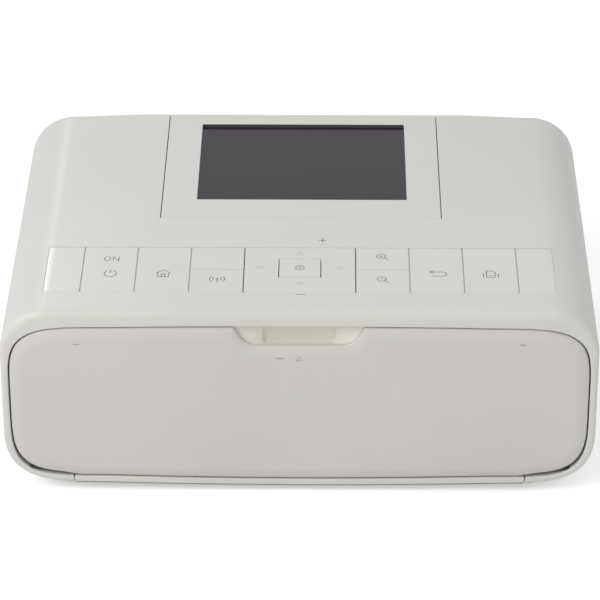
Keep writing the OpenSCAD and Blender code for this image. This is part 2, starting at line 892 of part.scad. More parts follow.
module zoom_in_key() color(key_colour)
    key_cap(x_right[0], x_right[1], y_split + split_gap / 2, strip_back, [stem_zoom_in]);

module zoom_out_key() color(key_colour)
    key_cap(x_right[0], x_right[1], strip_front, y_split - split_gap / 2, [stem_zoom_out]);

module back_key() color(key_colour)
    key_cap(x_right[1], x_right[2], strip_front, strip_back, [stem_back]);

module print_key() color(key_colour)
    key_cap(x_right[2], x_right[3], strip_front, strip_back, [stem_print]);

module direction_pad() color(key_colour) difference() {
    key_cap(x_left[3], x_right[0], strip_front, strip_back, pad_stems);
    box([-ok_w / 2 - ok_slip, ok_y - ok_d / 2 - ok_slip, z_key - over],
        [ok_w / 2 + ok_slip, ok_y + ok_d / 2 + ok_slip, z_top]);
}

module ok_key() color(key_colour) {
    box([-ok_w / 2, ok_y - ok_d / 2, z_key], [ok_w / 2, ok_y + ok_d / 2, z_top]);
    box([-stem / 2, ok_y - stem / 2, z_stem], [stem / 2, ok_y + stem / 2, z_key + eps]);
}

// Carrier under the keys, with the two blank ends of the strip
module key_bezel() color(key_colour) difference() {
    union() {
        box([top_r - half_w, strip_front - bezel_margin, z_bezel],
            [half_w - top_r, strip_back + bezel_margin, z_top - wall]);
        for (side = [0, 1]) mirror([side, 0, 0])
            box([x_right[3] + key_gap / 2, strip_front, z_bezel],
                [strip_half, strip_back, z_key_top]);
    }
    box([x_left[0], strip_front + key_ledge, z_bezel - over],
        [x_right[3], strip_back - key_ledge, z_top - wall + over]);
    box([x_left[0], strip_front - slip, z_key - key_travel - split_gap / 2],
        [x_right[3], strip_back + slip, z_top + over]);
}

key_board_half = stem_print[0] + switch_size / 2 + board_edge;
key_boss_ys = [strip_front - boss_out, strip_back + boss_out];

module key_board() color(board_colour) difference() {
    union() {
        box([-key_board_half, strip_front - bezel_margin, z_key_board],
            [key_board_half, strip_back + bezel_margin, z_key_board + board_t]);
        pair() for (y = key_boss_ys)
            bar_z(key_boss_r, z_key_board, z_bezel, key_board_half - boss_in, y);
    }
    pair() for (y = key_boss_ys)
        bar_z(key_screw_r, z_key_board - over, z_bezel - key_ledge,
            key_board_half - boss_in, y);
}

module key_switches() color(dark_colour) {
    for (s = all_stems) {
        box([s[0] - switch_size / 2, s[1] - switch_size / 2, z_key_board + board_t],
            [s[0] + switch_size / 2, s[1] + switch_size / 2,
            z_key_board + board_t + switch_h]);
        bar_z(plunger_r, z_key_board + board_t + switch_h - eps,
            z_key_board + board_t + switch_h + plunger_h, s[0], s[1]);
    }
}

// Door of the ink cassette, on the right side

module ink_door() color(shell_colour) difference() {
    union() {
        box([half_w - wall, y_door + door_gap, z_door_axis],
            [half_w, y_door_back - door_gap, z_door_top - door_gap]);
        bar_y(wall / 2, y_door + door_gap, y_door_back - door_gap, x_door_axis, z_door_axis);
        box([half_w - wall - door_rib_t, y_door + door_rib_in, z_door_axis + door_rib_in],
            [half_w - wall + eps, y_door_back - door_rib_in, z_door_top - door_rib_in]);
    }
    box([half_w - wall / 3, middle(y_door, y_door_back) - nail_w / 2, z_door_top - nail_h],
        [half_w + over, middle(y_door, y_door_back) + nail_w / 2, z_door_top]);
    for (y = [y_door, y_door_back - door_pin_l])
        bar_y(door_pin_r + run_gap, y - over, y + door_pin_l + over, x_door_axis,
            z_door_axis);
}

module ink_door_pins() color(steel_colour) {
    bar_y(door_pin_r, y_door - door_pin_l, y_door + door_pin_l, x_door_axis, z_door_axis);
    bar_y(door_pin_r, y_door_back - door_pin_l, y_door_back + door_pin_l, x_door_axis,
        z_door_axis);
}

// Electronics

module main_board() color(board_colour)
    box([-board_x, board_front, z_board], [board_x, board_back, z_board + board_t]);

// Chip places on the board, as X, Y, width and depth
chips = [[-30, 40, 14, 14], [-8, 42, 10, 12], [14, 40, 16, 10], [38, 44, 8, 14],
    [-38, 4, 12, 8], [24, 2, 10, 6]];

module board_chips() color(dark_colour) {
    for (c = chips)
        box([c[0] - c[2] / 2, c[1] - c[3] / 2, z_board + board_t],
            [c[0] + c[2] / 2, c[1] + c[3] / 2, z_board + board_t + chip_t]);
}

module dc_inlet() color(dark_colour) {
    y_out = y_rear - slip;
    z = z_deck + inlet_size / 2;
    difference() {
        box([inlet_x - inlet_size / 2, y_out - inlet_depth - inlet_back, z_deck],
            [inlet_x + inlet_size / 2, y_out, z_deck + inlet_size]);
        bar_y(inlet_r, y_out - inlet_depth, y_out + over, inlet_x, z);
    }
    bar_y(inlet_pin_r, y_out - inlet_depth - eps, y_out - over, inlet_x, z);
}

// Socket shell that opens towards +X, from the side plate to the casing
module side_socket(y0, z0, w, h, x1) {
    difference() {
        box([plate_out, y0 - socket_t, z0 - socket_t], [x1, y0 + w + socket_t,
            z0 + h + socket_t]);
        box([plate_out + socket_back, y0, z0], [x1 + over, y0 + w, z0 + h]);
    }
}

module card_socket() color(steel_colour)
    side_socket(card_y, card_z, card_w, card_h, half_w - wall - slip);

module usb_socket() color(steel_colour) {
    mirror([1, 0, 0]) side_socket(usb_y, usb_z, usb_w, usb_h, x_usb_out);
    box([usb_tongue - x_usb_out, usb_y + usb_tongue, usb_z + usb_h / 2],
        [eps - plate_out - socket_back, usb_y + usb_w - usb_tongue,
        usb_z + usb_h - usb_tongue]);
}

// Gears

// Angle that the involute of a base circle turns through at a radius
function roll(rb, r) = r <= rb ? 0 : sqrt(pow(r / rb, 2) - 1) * 180 / PI
    - acos(rb / r);

// Half the angle of a tooth at a radius
function half_tooth(n, r) = let (rp = pitch_r(n), rb = rp * cos(pressure))
    (90 - backlash / rp * 90 / PI) / n + roll(rb, rp) - roll(rb, r);

function gear_points(n, turn) = let (rp = pitch_r(n), rb = rp * cos(pressure),
    r_tip = rp + tip_h * tooth_m, r_root = rp - root_h * tooth_m,
    radii = [r_root, max(rb, r_root), rp, r_tip])
    [for (i = [0 : n - 1], k = [0 : 7])
        let (j = k < 4 ? k : 7 - k, side = k < 4 ? -1 : 1,
            a = turn + i * 360 / n + side * half_tooth(n, radii[j]))
        [radii[j] * cos(a), radii[j] * sin(a)]];

// Turn of a meshing gear, so that its teeth fall in the other gear's gaps
function mesh_turn(beta, n1, turn1, n2) =
    beta + 180 - (0.5 - (beta - turn1) * n1 / 360) * 360 / n2;

function aim(y0, z0, y1, z1) = atan2(z1 - z0, y1 - y0);

turn_capstan = 0;
turn_small = mesh_turn(aim(capstan_y, capstan_z, reduction_y, reduction_z),
    capstan_teeth, turn_capstan, small_teeth);
turn_takeup = mesh_turn(aim(capstan_y, capstan_z, takeup_y, takeup_z),
    capstan_teeth, turn_capstan, takeup_teeth);
turn_feed = mesh_turn(aim(reduction_y, reduction_z, feed_y, feed_z),
    small_teeth, turn_small, feed_teeth);
turn_big = 0;
turn_pinion = mesh_turn(aim(reduction_y, reduction_z, motor_y, motor_z),
    big_teeth, turn_big, pinion_teeth);

// Spur gear whose axis runs along X; x1 is its face on the inner side
module gear_x(n, turn, x1, y, z, bore) {
    translate([x1 - gear_t, y, z]) rotate([90, 0, 90]) linear_extrude(gear_t)
        difference() {
            polygon(gear_points(n, turn));
            circle(bore);
        }
}

x_shaft_left = x_gear_in - gear_t - layer_gap / 2;
x_shaft_right = plate_out + shaft_over;
x_shaft_short = plate_out + shaft_end;

module capstan_roller() color(steel_colour) {
    bar_x(shaft_r, x_shaft_left, x_shaft_right, capstan_y, capstan_z);
    bar_x(capstan_r, -roller_half, roller_half, capstan_y, capstan_z);
}

module capstan_gear() color(gear_colour)
    gear_x(capstan_teeth, turn_capstan, x_gear_in, capstan_y, capstan_z, shaft_r);

module pinch_roller() color(rubber_colour) {
    bar_x(thin_shaft_r, -x_shaft_short, x_shaft_short, capstan_y, pinch_z);
    bar_x(capstan_r, over - roller_half, roller_half - over, capstan_y, pinch_z);
}

module platen_roller() color(rubber_colour) {
    bar_x(shaft_r, -x_shaft_short, x_shaft_short, platen_y, platen_z);
    bar_x(platen_r, -roller_half, roller_half, platen_y, platen_z);
}

module feed_shaft() color(steel_colour)
    bar_x(shaft_r, x_shaft_left, x_shaft_right, feed_y, feed_z);

module feed_roller() color(rubber_colour) difference() {
    bar_x(feed_r, -feed_half, feed_half, feed_y, feed_z);
    bar_x(shaft_r, -roller_w, roller_w, feed_y, feed_z);
}

module feed_gear() color(gear_colour)
    gear_x(feed_teeth, turn_feed, x_gear_in, feed_y, feed_z, shaft_r);

module reduction_gear() color(gear_colour) difference() {
    union() {
        gear_x(small_teeth, turn_small, x_gear_in, reduction_y, reduction_z,
            thin_shaft_r + run_gap);
        gear_x(big_teeth, turn_big, x_gear_out, reduction_y, reduction_z,
            thin_shaft_r + run_gap);
        bar_x(pitch_r(small_teeth) - gear_step, x_gear_out - eps,
            x_gear_in - gear_t + eps, reduction_y, reduction_z);
    }
    bar_x(thin_shaft_r + run_gap, x_gear_out - gear_t - over, x_gear_in + over,
        reduction_y, reduction_z);
}

module gear_pin() color(steel_colour)
    bar_x(thin_shaft_r, x_bracket, -plate_in, reduction_y, reduction_z);

y_post = feed_y - pitch_r(feed_teeth) - post_in;
y_post_back = reduction_y + pitch_r(big_teeth) + post_in;
post_drop = 8.1;
z_post = z_bezel - post_drop;
z_post_low = feed_z - pitch_r(feed_teeth) - post_in;
post_places = [[y_post, z_post], [y_post, z_post_low], [y_post_back, z_post]];

module gear_bracket() color(steel_colour) difference() {
    union() {
        box([x_bracket - bracket_t, y_post - post_in, z_post_low - post_in],
            [x_bracket, y_post_back + post_in, z_post + post_in]);
        for (p = post_places) bar_x(post_r, x_bracket - eps, -plate_out, p[0], p[1]);
    }
    bar_x(motor_shaft_r + face_gap, x_bracket - 2 * bracket_t, x_bracket + over, motor_y,
        motor_z);
}

module drive_motor() color(dark_colour) difference() {
    bar_x(motor_r, x_bracket - bracket_t - motor_l, x_bracket - bracket_t, motor_y, motor_z);
    bar_x(motor_shaft_r + run_gap, x_bracket - bracket_t - motor_l / 2, x_bracket, motor_y,
        motor_z);
}

module motor_pinion() color(brass_colour) {
    gear_x(pinion_teeth, turn_pinion, x_gear_out, motor_y, motor_z, motor_shaft_r - shaft_flat);
    bar_x(motor_shaft_r, x_bracket - bracket_t - motor_l / 2 + over, x_gear_out, motor_y,
        motor_z);
}

// Ribbon cassette

hub_bore_r = hub_r + hub_slip;
end_t = 2;
tube_end = 3;
bar_up = 2;
key_tab = 6;
key_tab_t = 3;
roll_in = 3;
spool_play = 0.3;
film_in = 4;
film_over = 3;

module tube(y, side) {
    difference() {
        bar_x(tube_r, -cassette_half, cassette_half, y, takeup_z);
        bar_x(tube_r - tube_wall, end_t - cassette_half, cassette_half - end_t, y, takeup_z);
        bar_x(journal_r + run_gap, -cassette_half - over, cassette_half + over, y,
            takeup_z);
        box([tube_end - cassette_half, min(y, y + side * 2 * tube_r), takeup_z - tube_r - over],
            [cassette_half - tube_end, max(y, y + side * 2 * tube_r),
            takeup_z - tube_r + tube_slot]);
    }
}

module cassette_shell() color(dark_colour) {
    tube(takeup_y, 1);
    tube(supply_y, -1);
    pair() box([cassette_half - bar_t, takeup_y + tube_r - over, takeup_z + bar_up],
        [cassette_half, supply_y - tube_r + over, takeup_z + bar_up + bar_h]);
    box([cassette_half - eps, takeup_y + tube_r, takeup_z + bar_up],
        [cassette_half + key_tab, supply_y - tube_r, takeup_z + bar_up + key_tab_t]);
}

// Film that leaves one tube, passes under the print head and enters the other
module ribbon_film() color(ribbon_colour) {
    half = roller_half - film_in;
    z_in = takeup_z - tube_r + tube_slot / 2;
    y0 = takeup_y + tube_r - film_over;
    y1 = supply_y - tube_r + film_over;
    y2 = head_y - head_d / 2 - over;
    y3 = head_y + head_d / 2 + over;
    rotate([90, 0, 90]) translate([0, 0, -half]) linear_extrude(2 * half)
        polygon([[y0, z_in], [y2, film_z], [y3, film_z], [y1, z_in], [y1, z_in + film_t],
            [y3, film_z + film_t], [y2, film_z + film_t], [y0, z_in + film_t]]);
}

module spool(y, roll_r) {
    difference() {
        union() {
            bar_x(journal_r, -cassette_half, cassette_half, y, takeup_z);
            bar_x(spool_core_r, end_t + spool_play - cassette_half,
                cassette_half - end_t - spool_play, y, takeup_z);
            bar_x(roll_r, roll_in - roller_half, roller_half - roll_in, y, takeup_z);
        }
        bar_x(hub_bore_r, -cassette_half - over, hub_bore_l - cassette_half, y, takeup_z);
    }
}

module supply_spool() color(ribbon_colour) spool(supply_y, supply_r);

module takeup_spool() color(ribbon_colour) spool(takeup_y, takeup_r);

module takeup_hub() color(gear_colour) {
    gear_x(takeup_teeth, turn_takeup, x_gear_in, takeup_y, takeup_z, hub_r - shaft_flat);
    bar_x(hub_r, x_gear_in - gear_t, hub_reach - cassette_half, takeup_y, takeup_z);
    bar_x(hub_r + hub_collar - run_gap, x_gear_in - eps, layer_gap - plate_in, takeup_y,
        takeup_z);
}

module supply_hub() color(gear_colour) {
    bar_x(hub_r, -plate_in, hub_reach - cassette_half, supply_y, takeup_z);
    bar_x(hub_r + hub_collar, -plate_in, hub_collar - plate_in, supply_y, takeup_z);
}

// Print head

module head_arm() color(steel_colour) difference() {
    half = sink_half - arm_in;
    union() {
        box([-half, head_y - sink_d / 2, z_arm],
            [half, pivot_y - thin_shaft_r - over, z_arm + arm_t]);
        pair() bar_x(thin_shaft_r + ear_wall, half - arm_ear, half, pivot_y, pivot_z);
        pair() box([half - arm_ear, pivot_y - arm_ear, z_arm], [half, pivot_y, z_arm + arm_t]);
    }
    bar_x(thin_shaft_r + run_gap, -big, big, pivot_y, pivot_z);
}

module heat_sink() color(steel_colour) difference() {
    box([-sink_half, head_y - sink_d / 2, film_z + head_gap + head_t],
        [sink_half, head_y + sink_d / 2, z_arm]);
    for (x = [fin_t - sink_half : fin_t + fin_gap : sink_half - fin_t - fin_gap])
        box([x, head_y - sink_d / 2 - over, film_z + head_gap + 3 * head_t],
            [x + fin_gap, head_y + sink_d / 2 + over, z_arm - sink_web]);
}

module thermal_head() color(liner_colour)
    box([-sink_half, head_y - head_d / 2, film_z + head_gap],
        [sink_half, head_y + head_d / 2, film_z + head_gap + head_t]);

module head_pivot() color(steel_colour)
    bar_x(thin_shaft_r, -plate_out, plate_out, pivot_y, pivot_z);

upper_shell();
bottom_cover();
rear_panel();
feet();
base_screws();
chassis();
left_side_plate();
right_side_plate();
shaft_bushes();
paper_guide();
front_cover();
cover_liner();
cover_pins();
display_frame();
display_glass();
display_module();
display_back();
display_pins();
key_bezel();
key_board();
key_switches();
power_key();
home_key();
menu_key();
wireless_key();
direction_pad();
ok_key();
zoom_in_key();
zoom_out_key();
back_key();
print_key();
ink_door();
ink_door_pins();
main_board();
board_chips();
dc_inlet();
usb_socket();
card_socket();
capstan_roller();
capstan_gear();
pinch_roller();
platen_roller();
feed_shaft();
feed_roller();
feed_gear();
head_arm();
heat_sink();
thermal_head();
head_pivot();
cassette_shell();
ribbon_film();
supply_spool();
takeup_spool();
takeup_hub();
supply_hub();
reduction_gear();
gear_pin();
gear_bracket();
drive_motor();
motor_pinion();
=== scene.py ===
"""Compact photo printer: its looks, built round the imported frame.

Shapes are worked out in millimetres and go into the meshes in metres.
X runs to the right, Y to the back and Z up, with the origin on the table.
"""
import json
import math

import bmesh
import bpy
import numpy as np
from bpy.props import FloatProperty, FloatVectorProperty, PointerProperty
from bpy.types import Operator, Panel, PropertyGroup
from mathutils import Matrix, Vector


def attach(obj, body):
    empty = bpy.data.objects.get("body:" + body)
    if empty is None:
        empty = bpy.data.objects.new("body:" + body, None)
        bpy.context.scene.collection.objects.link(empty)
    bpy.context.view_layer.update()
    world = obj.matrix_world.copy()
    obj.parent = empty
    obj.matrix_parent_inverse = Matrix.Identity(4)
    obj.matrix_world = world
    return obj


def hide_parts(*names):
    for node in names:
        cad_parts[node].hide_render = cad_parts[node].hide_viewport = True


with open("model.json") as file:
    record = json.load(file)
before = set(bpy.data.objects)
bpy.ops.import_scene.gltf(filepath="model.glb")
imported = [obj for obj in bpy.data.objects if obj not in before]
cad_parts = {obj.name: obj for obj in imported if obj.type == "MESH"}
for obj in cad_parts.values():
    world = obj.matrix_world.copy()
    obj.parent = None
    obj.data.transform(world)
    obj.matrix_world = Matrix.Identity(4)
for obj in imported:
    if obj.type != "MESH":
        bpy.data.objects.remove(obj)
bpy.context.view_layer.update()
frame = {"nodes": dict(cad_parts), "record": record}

bl_info = {
    "name": "Compact photo printer",
    "version": (1, 0, 0),
    "blender": (4, 5, 0),
    "location": "View3D > Sidebar > Printer",
    "description": "Builds the casing, keys, display and stage of a photo printer",
    "category": "Object",
}

MM = 0.001
QUARTER = math.pi / 2

# Depths of the casing, front to back, and heights of its top and keys
Y_FACE, Y_RIM, Y_CAVITY, Y_BACK = -67.95, -67.3, -62.0, 67.95
Z_TOP, Z_KEY_TOP, Z_KEY = 63.3, 63.2, 61.2
# Height by which printed marks stand out
MARK = 0.02
WALL = 2.4
# Seam between the upper shell and the bottom cover, on each side
SEAM, SEAM_GAP = 69.4, 0.5
# Half of the gap round the front cover
EDGE_GAP = 0.19

# Outlines of the body and of the gap round the front cover, seen from the front. A corner is
# a superellipse of power n about (cx, cz); foot and crown bend away from level as powers of X
BODY = dict(half=90.3, z0=1.74, rise=0.86, bend0=2.0, cx0=63.0, cz0=23.0, n0=3.0,
            top=Z_TOP - MARK, drop=0.0, bend1=2.0, cx1=75.8, cz1=48.8, n1=2.0)
COVER = dict(half=87.84, z0=4.43, rise=0.87, bend0=2.0, cx0=58.0, cz0=31.2, n0=4.4,
             top=58.15, drop=0.45, bend1=2.5, cx1=58.0, cz1=36.4, n1=3.9)


def mm(value):
    """A length property, in metres, as millimetres."""
    return value / MM


def share(value, start, end):
    """How far a value has come from start, where it is 0, to end, where it is 1."""
    return (value - start) / (end - start)


def smooth(t):
    """Step from 0 to 1 with level ends: three t squared less two t cubed."""
    t = np.clip(t, 0, 1)
    return t * t * (3 - 2 * t)


def quarter_round(steps=5):
    """Places on a quarter round of radius 1, as pairs: 1 - cos a, which goes from 0 to 1,
    and 1 - sin a, which goes from 1 to 0."""
    a = np.linspace(0, QUARTER, steps)
    return list(zip((1 - np.cos(a)).tolist(), (1 - np.sin(a)).tolist()))


# Outlines


def grown(outline, extra):
    """The outline moved outwards by extra all round."""
    o = dict(outline)
    o["half"] += extra
    o["top"] += extra
    o["z0"] -= extra
    return o


def corner(turn, a, b, n):
    """Reach along X and height of a superellipse quarter of half axes a and b, at the angle
    turn from the upright: the radius is the n-th root of 1 over the sum of powers."""
    s, c = np.sin(turn), np.abs(np.cos(turn))
    r = ((s / a) ** n + (c / b) ** n) ** (-1 / n)
    return r * s, r * c


def corner_turn(u, a, b, n, upright=False):
    """Angle, in quarters, at which that quarter reaches the share u of a, or of b."""
    t = np.clip(1 - np.clip(u, 0, 1) ** n, 0, 1) ** (1 / n)
    return (np.arctan2(t * a, u * b) if upright else np.arctan2(u * a, t * b)) / QUARTER


def outline_point(v, o):
    """X and Z on an outline. v is 0 at the top centre, 5 at the bottom centre along the
    right side and -5 along the left. One unit each: crown, upper corner, straight side,
    lower corner, foot."""
    side = np.where(v < 0, -1.0, 1.0)
    w = 5 - np.abs(v)
    foot, end = o["z0"] + o["rise"], o["top"] - o["drop"]
    low = corner(np.clip(w - 1, 0, 1) * QUARTER, o["half"] - o["cx0"], o["cz0"] - foot, o["n0"])
    high = corner(np.clip(4 - w, 0, 1) * QUARTER, o["half"] - o["cx1"], end - o["cz1"], o["n1"])
    where = [w < 1, w < 2, w < 3, w < 4]
    x = np.select(where, [w * o["cx0"], o["cx0"] + low[0], np.full_like(w, o["half"]),
                          o["cx1"] + high[0]], (5 - w) * o["cx1"])
    z = np.select(where, [
        o["z0"] + o["rise"] * np.clip(w, 0, 1) ** o["bend0"],
        o["cz0"] - low[1],
        o["cz0"] + (w - 2) * (o["cz1"] - o["cz0"]),
        o["cz1"] + high[1]], o["top"] - o["drop"] * np.clip(5 - w, 0, 1) ** o["bend1"])
    return side * x, z


def outline_inward(v, o):
    """Unit vector into the body: the chord between two close points, turned a quarter."""
    step = 1e-4
    x0, z0 = outline_point(v - step, o)
    x1, z1 = outline_point(v + step, o)
    length = np.hypot(x1 - x0, z1 - z0)
    return (z1 - z0) / length, -(x1 - x0) / length


def v_at_x(x):
    """Place on the body's upper outline that has this X."""
    reach = abs(x)
    if reach <= BODY["cx1"]:
        v = reach / BODY["cx1"]
    else:
        a, b = BODY["half"] - BODY["cx1"], BODY["top"] - BODY["cz1"]
        v = 1 + float(corner_turn((reach - BODY["cx1"]) / a, a, b, BODY["n1"]))
    return math.copysign(v, x)


def v_at_z(z, side):
    """Place on the body's side that has this Z."""
    if z >= BODY["cz0"]:
        return side * (3 - (z - BODY["cz0"]) / (BODY["cz1"] - BODY["cz0"]))
    a, b = BODY["half"] - BODY["cx0"], BODY["cz0"] - BODY["z0"] - BODY["rise"]
    return side * (4 - float(corner_turn((BODY["cz0"] - z) / b, a, b, BODY["n0"], True)))


def v_at_foot(x, o):
    """Places on the lower edge of an outline that have these X values."""
    reach = np.abs(x)
    a, b = o["half"] - o["cx0"], o["cz0"] - o["z0"] - o["rise"]
    v = np.where(reach <= o["cx0"], 5 - reach / o["cx0"],
                 4 - corner_turn(np.clip((reach - o["cx0"]) / a, 0, 1), a, b, o["n0"]))
    return np.copysign(v, x)


V_SEAM = float(v_at_foot(SEAM, BODY))


def body_skin(v, inset, y):
    """Points on the body's skin at depth inset below it: outline plus inset times normal."""
    v, inset, y = np.broadcast_arrays(np.asarray(v, float), inset, y)
    x, z = outline_point(v, BODY)
    nx, nz = outline_inward(v, BODY)
    return np.stack([x + inset * nx, y, z + inset * nz], -1)


def cover_place(v):
    """Places on the cover's outline nearest to places on the body's outline."""
    fine = np.linspace(0, 4, 4001)
    cx, cz = outline_point(fine, COVER)
    x, z = outline_point(np.abs(v), BODY)
    return fine[np.argmin(np.hypot(x[:, None] - cx, z[:, None] - cz), axis=1)]


def cover_wall(v, gap, y):
    """Points on the opening round the front cover: the cover's outline grown by gap. On the
    lower corner the places are stretched so that both outlines end at the seam together."""
    o = grown(COVER, gap)
    w, start = cover_place(v), 3.3
    last, end = cover_place(np.array([V_SEAM]))[0], float(v_at_foot(SEAM, o))
    w = np.where(w > start, start + (w - start) * (end - start) / (last - start), w)
    x, z = outline_point(np.copysign(w, v), o)
    return np.stack([x, np.full_like(x, y), z], -1)


def cover_sill(x, gap, y):
    """Points on the lower side of that opening, at given X values."""
    o = grown(COVER, gap)
    px, pz = outline_point(v_at_foot(x, o), o)
    return np.stack([px, np.full_like(px, y), pz], -1)


# Meshes


def quads(rows, cols, wrap_rows=False, wrap_cols=False, keep=None):
    """Quads of a grid of rows times cols points; keep says which cells stay."""
    r = np.arange(rows if wrap_rows else rows - 1)
    c = np.arange(cols if wrap_cols else cols - 1)
    r, c = np.meshgrid(r, c, indexing="ij")
    r1, c1 = (r + 1) % rows, (c + 1) % cols
    faces = np.stack([r * cols + c, r * cols + c1, r1 * cols + c1, r1 * cols + c], -1)
    return faces[keep] if keep is not None else faces.reshape(-1, 4)


def loft(rings, caps=True, closed=False):
    """Skin over a stack of rings with equal point counts; caps close its two ends, and
    closed joins the last ring to the first."""
    rings = np.asarray(rings, float)
    k, n = rings.shape[:2]
    faces = quads(k, n, wrap_rows=closed, wrap_cols=True).tolist()
    if caps and not closed:
        faces.append(list(range(n)))
        faces.append(list(range((k - 1) * n, k * n)))
    return rings.reshape(-1, 3), faces


def joined(parts):
    """Several point and face lists as one."""
    points, faces, start = [], [], 0
    for p, f in parts:
        points.append(np.asarray(p, float).reshape(-1, 3))
        faces += [[i + start for i in face] for face in f]
        start += len(points[-1])
    return np.concatenate(points), faces


def piece(name, parts, material, body, replaces=(), crease=40, weld=0.002):
    """Puts points, in millimetres, and faces into a mesh, welds what touches, turns the
    faces outwards and rides it on its body."""
    points, faces = joined(parts)
    mesh = bpy.data.meshes.new(name)
    mesh.from_pydata((points * MM).tolist(), [], faces)
    work = bmesh.new()
    work.from_mesh(mesh)
    bmesh.ops.remove_doubles(work, verts=work.verts, dist=weld * MM)
    bmesh.ops.dissolve_degenerate(work, edges=work.edges, dist=weld * MM / 4)
    bmesh.ops.recalc_face_normals(work, faces=work.faces)
    work.to_mesh(mesh)
    work.free()
    mesh.shade_smooth()
    mesh.set_sharp_from_angle(angle=math.radians(crease))
    mesh.materials.append(material)
    thing = bpy.data.objects.new(name, mesh)
    bpy.context.scene.collection.objects.link(thing)
    even = thing.modifiers.new("Even shading", "WEIGHTED_NORMAL")
    even.keep_sharp = True
    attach(thing, body)
    if replaces:
        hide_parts(*replaces)
    return thing


def rect_ring(x0, x1, y0, y1, z, r, per=5):
    """Rectangle with rounded corners at height z: a quarter circle at each corner."""
    a = np.linspace(0, QUARTER, per)
    xs, ys = [], []
    for cx, cy, turn in ((x1 - r, y1 - r, 0), (x0 + r, y1 - r, 1), (x0 + r, y0 + r, 2),
                         (x1 - r, y0 + r, 3)):
        xs.append(cx + r * np.cos(a + turn * QUARTER))
        ys.append(cy + r * np.sin(a + turn * QUARTER))
    x, y = np.concatenate(xs), np.concatenate(ys)
    return np.stack([x, y, np.full_like(x, z)], -1)


def slab(x0, x1, y0, y1, z0, z1, corner_r, edge, foot=0.15):
    """Block with round corners, whose upper edge turns through a quarter circle."""
    rings = [rect_ring(x0 + foot, x1 - foot, y0 + foot, y1 - foot, z0, corner_r),
             rect_ring(x0, x1, y0, y1, z0 + foot, corner_r)]
    least = 0.05
    for along, down in quarter_round():
        d = edge * along
        rings.append(rect_ring(x0 + d, x1 - d, y0 + d, y1 - d, z1 - edge * down,
                               max(corner_r - d, least)))
    return loft(rings)


def framed_slab(outer, inner, z0, z1, corner_r, edge):
    """Block with a rectangular hole: rings go up the hole, over the top and down outside."""
    rings = [(inner, 0, z0)]
    rings += [(inner, edge * along, z1 - edge * down) for along, down in quarter_round()]
    rings += [(outer, -edge * along, z1 - edge * down) for along, down in quarter_round()[::-1]]
    rings.append((outer, 0, z0))
    made = [rect_ring(b[0] - d, b[1] + d, b[2] - d, b[3] + d, z, corner_r)
            for b, d, z in rings]
    return loft(made, closed=True)


def turned(rows, x, y, count=48):
    """Turned shape on an upright axis: a circle for each radius and height."""
    a = np.linspace(0, 2 * math.pi, count, endpoint=False)
    return loft([np.stack([x + r * np.cos(a), y + r * np.sin(a), np.full_like(a, z)], -1)
                 for r, z in rows])


def stroke(path, width, closed=False):
    """Thin inlaid line: a flat rectangle carried along a path in the plane, half the width
    to each side of it. Its third coordinate is 0 at the bottom and 1 at the top."""
    p = np.asarray(path, float)
    t = np.roll(p, -1, 0) - np.roll(p, 1, 0) if closed else np.gradient(p, axis=0)
    n = np.stack([-t[:, 1], t[:, 0]], -1) / np.linalg.norm(t, axis=1)[:, None] * width / 2
    ring = np.stack([p + n, p - n, p - n, p + n], 1)
    level = np.broadcast_to([1.0, 1.0, 0.0, 0.0], ring.shape[:2])[..., None]
    return loft(np.concatenate([ring, level], -1), closed=closed)


# Upper shell and bottom cover

HOLE_EDGE = 0.12
# How far the wall of an opening stops short of the shell's inner skin
LIP_SHORT = 0.5
# Openings as side, Z or X range, Y range; side 0 is the top
OPENINGS = {
    "strip": (0, (-77.6, 77.6), (-55.0, -26.8)),
    "door": (1, (24.6, 48.2), (-3.91, 55.19)),
    "card": (1, (30.0, 33.5), (-51.0, -26.0)),
    "usb": (-1, (14.0, 19.6), (-56.0, -42.8)),
}
# Vents of the left side: how many, their Z range, the first one's Y and their pitch
VENTS, VENT_Z, VENT_Y, VENT_PITCH = 9, (29.5, 43.5), 20.0, 4.0
# Half width and front of the display's opening
DISPLAY_HALF, DISPLAY_FRONT = 44.3, -7.6
# Lip at the back: how far in it reaches, and the face of it that the rear panel lies against
BACK_LIP, BACK_IN = 3.8, 66.45


def openings():
    """Every closed opening of the shell, as wall and edge places in v and in Y, and the
    direction that its walls run in."""
    found = []
    rows = list(OPENINGS.values())
    rows += [(-1, VENT_Z, (VENT_Y + VENT_PITCH * i, VENT_Y + VENT_PITCH * (i + 0.5)))
             for i in range(VENTS)]
    e = HOLE_EDGE
    for side, (a, b), (y0, y1) in rows:
        if side == 0:
            wall, edge = (v_at_x(a), v_at_x(b)), (v_at_x(a - e), v_at_x(b + e))
        else:
            wall = (v_at_z(a, side), v_at_z(b, side))
            edge = (v_at_z(a - e, side), v_at_z(b + e, side))
        found.append((sorted(wall), sorted(edge), (y0, y1), (y0 - e, y1 + e),
                      (-side, 0, -1 if side == 0 else 0)))
    return found


def rim_radius(v, sizes):
    """Rounding of the front rim: small at the sides, larger along the top front edge."""
    side, low, high = 1.35, 50, 62
    z = outline_point(v, BODY)[1]
    return side + (mm(sizes.brow_radius) - side) * smooth(share(z, low, high))


def back_rows(v, sizes):
    """Depth and Y of the rounded back edge, one row per angle: its radius grows from the
    middle to the corners. The first rows end at the rear panel, the rest at the lip's end."""
    x = np.abs(outline_point(v, BODY)[0])
    near, far = mm(sizes.back_radius), mm(sizes.back_corner_radius)
    x_near, x_far = 51, 77
    r = near + (far - near) * smooth(share(x, x_near, x_far))
    split = np.arcsin((BACK_IN - Y_BACK + r) / r)
    end = np.arccos(1 - BACK_LIP / r)
    t = np.linspace(0, 1, 5)[:, None]
    a = np.concatenate([split * t, split + (end - split) * t[1:]])
    return r * (1 - np.cos(a)), Y_BACK - r + r * np.sin(a), len(t)


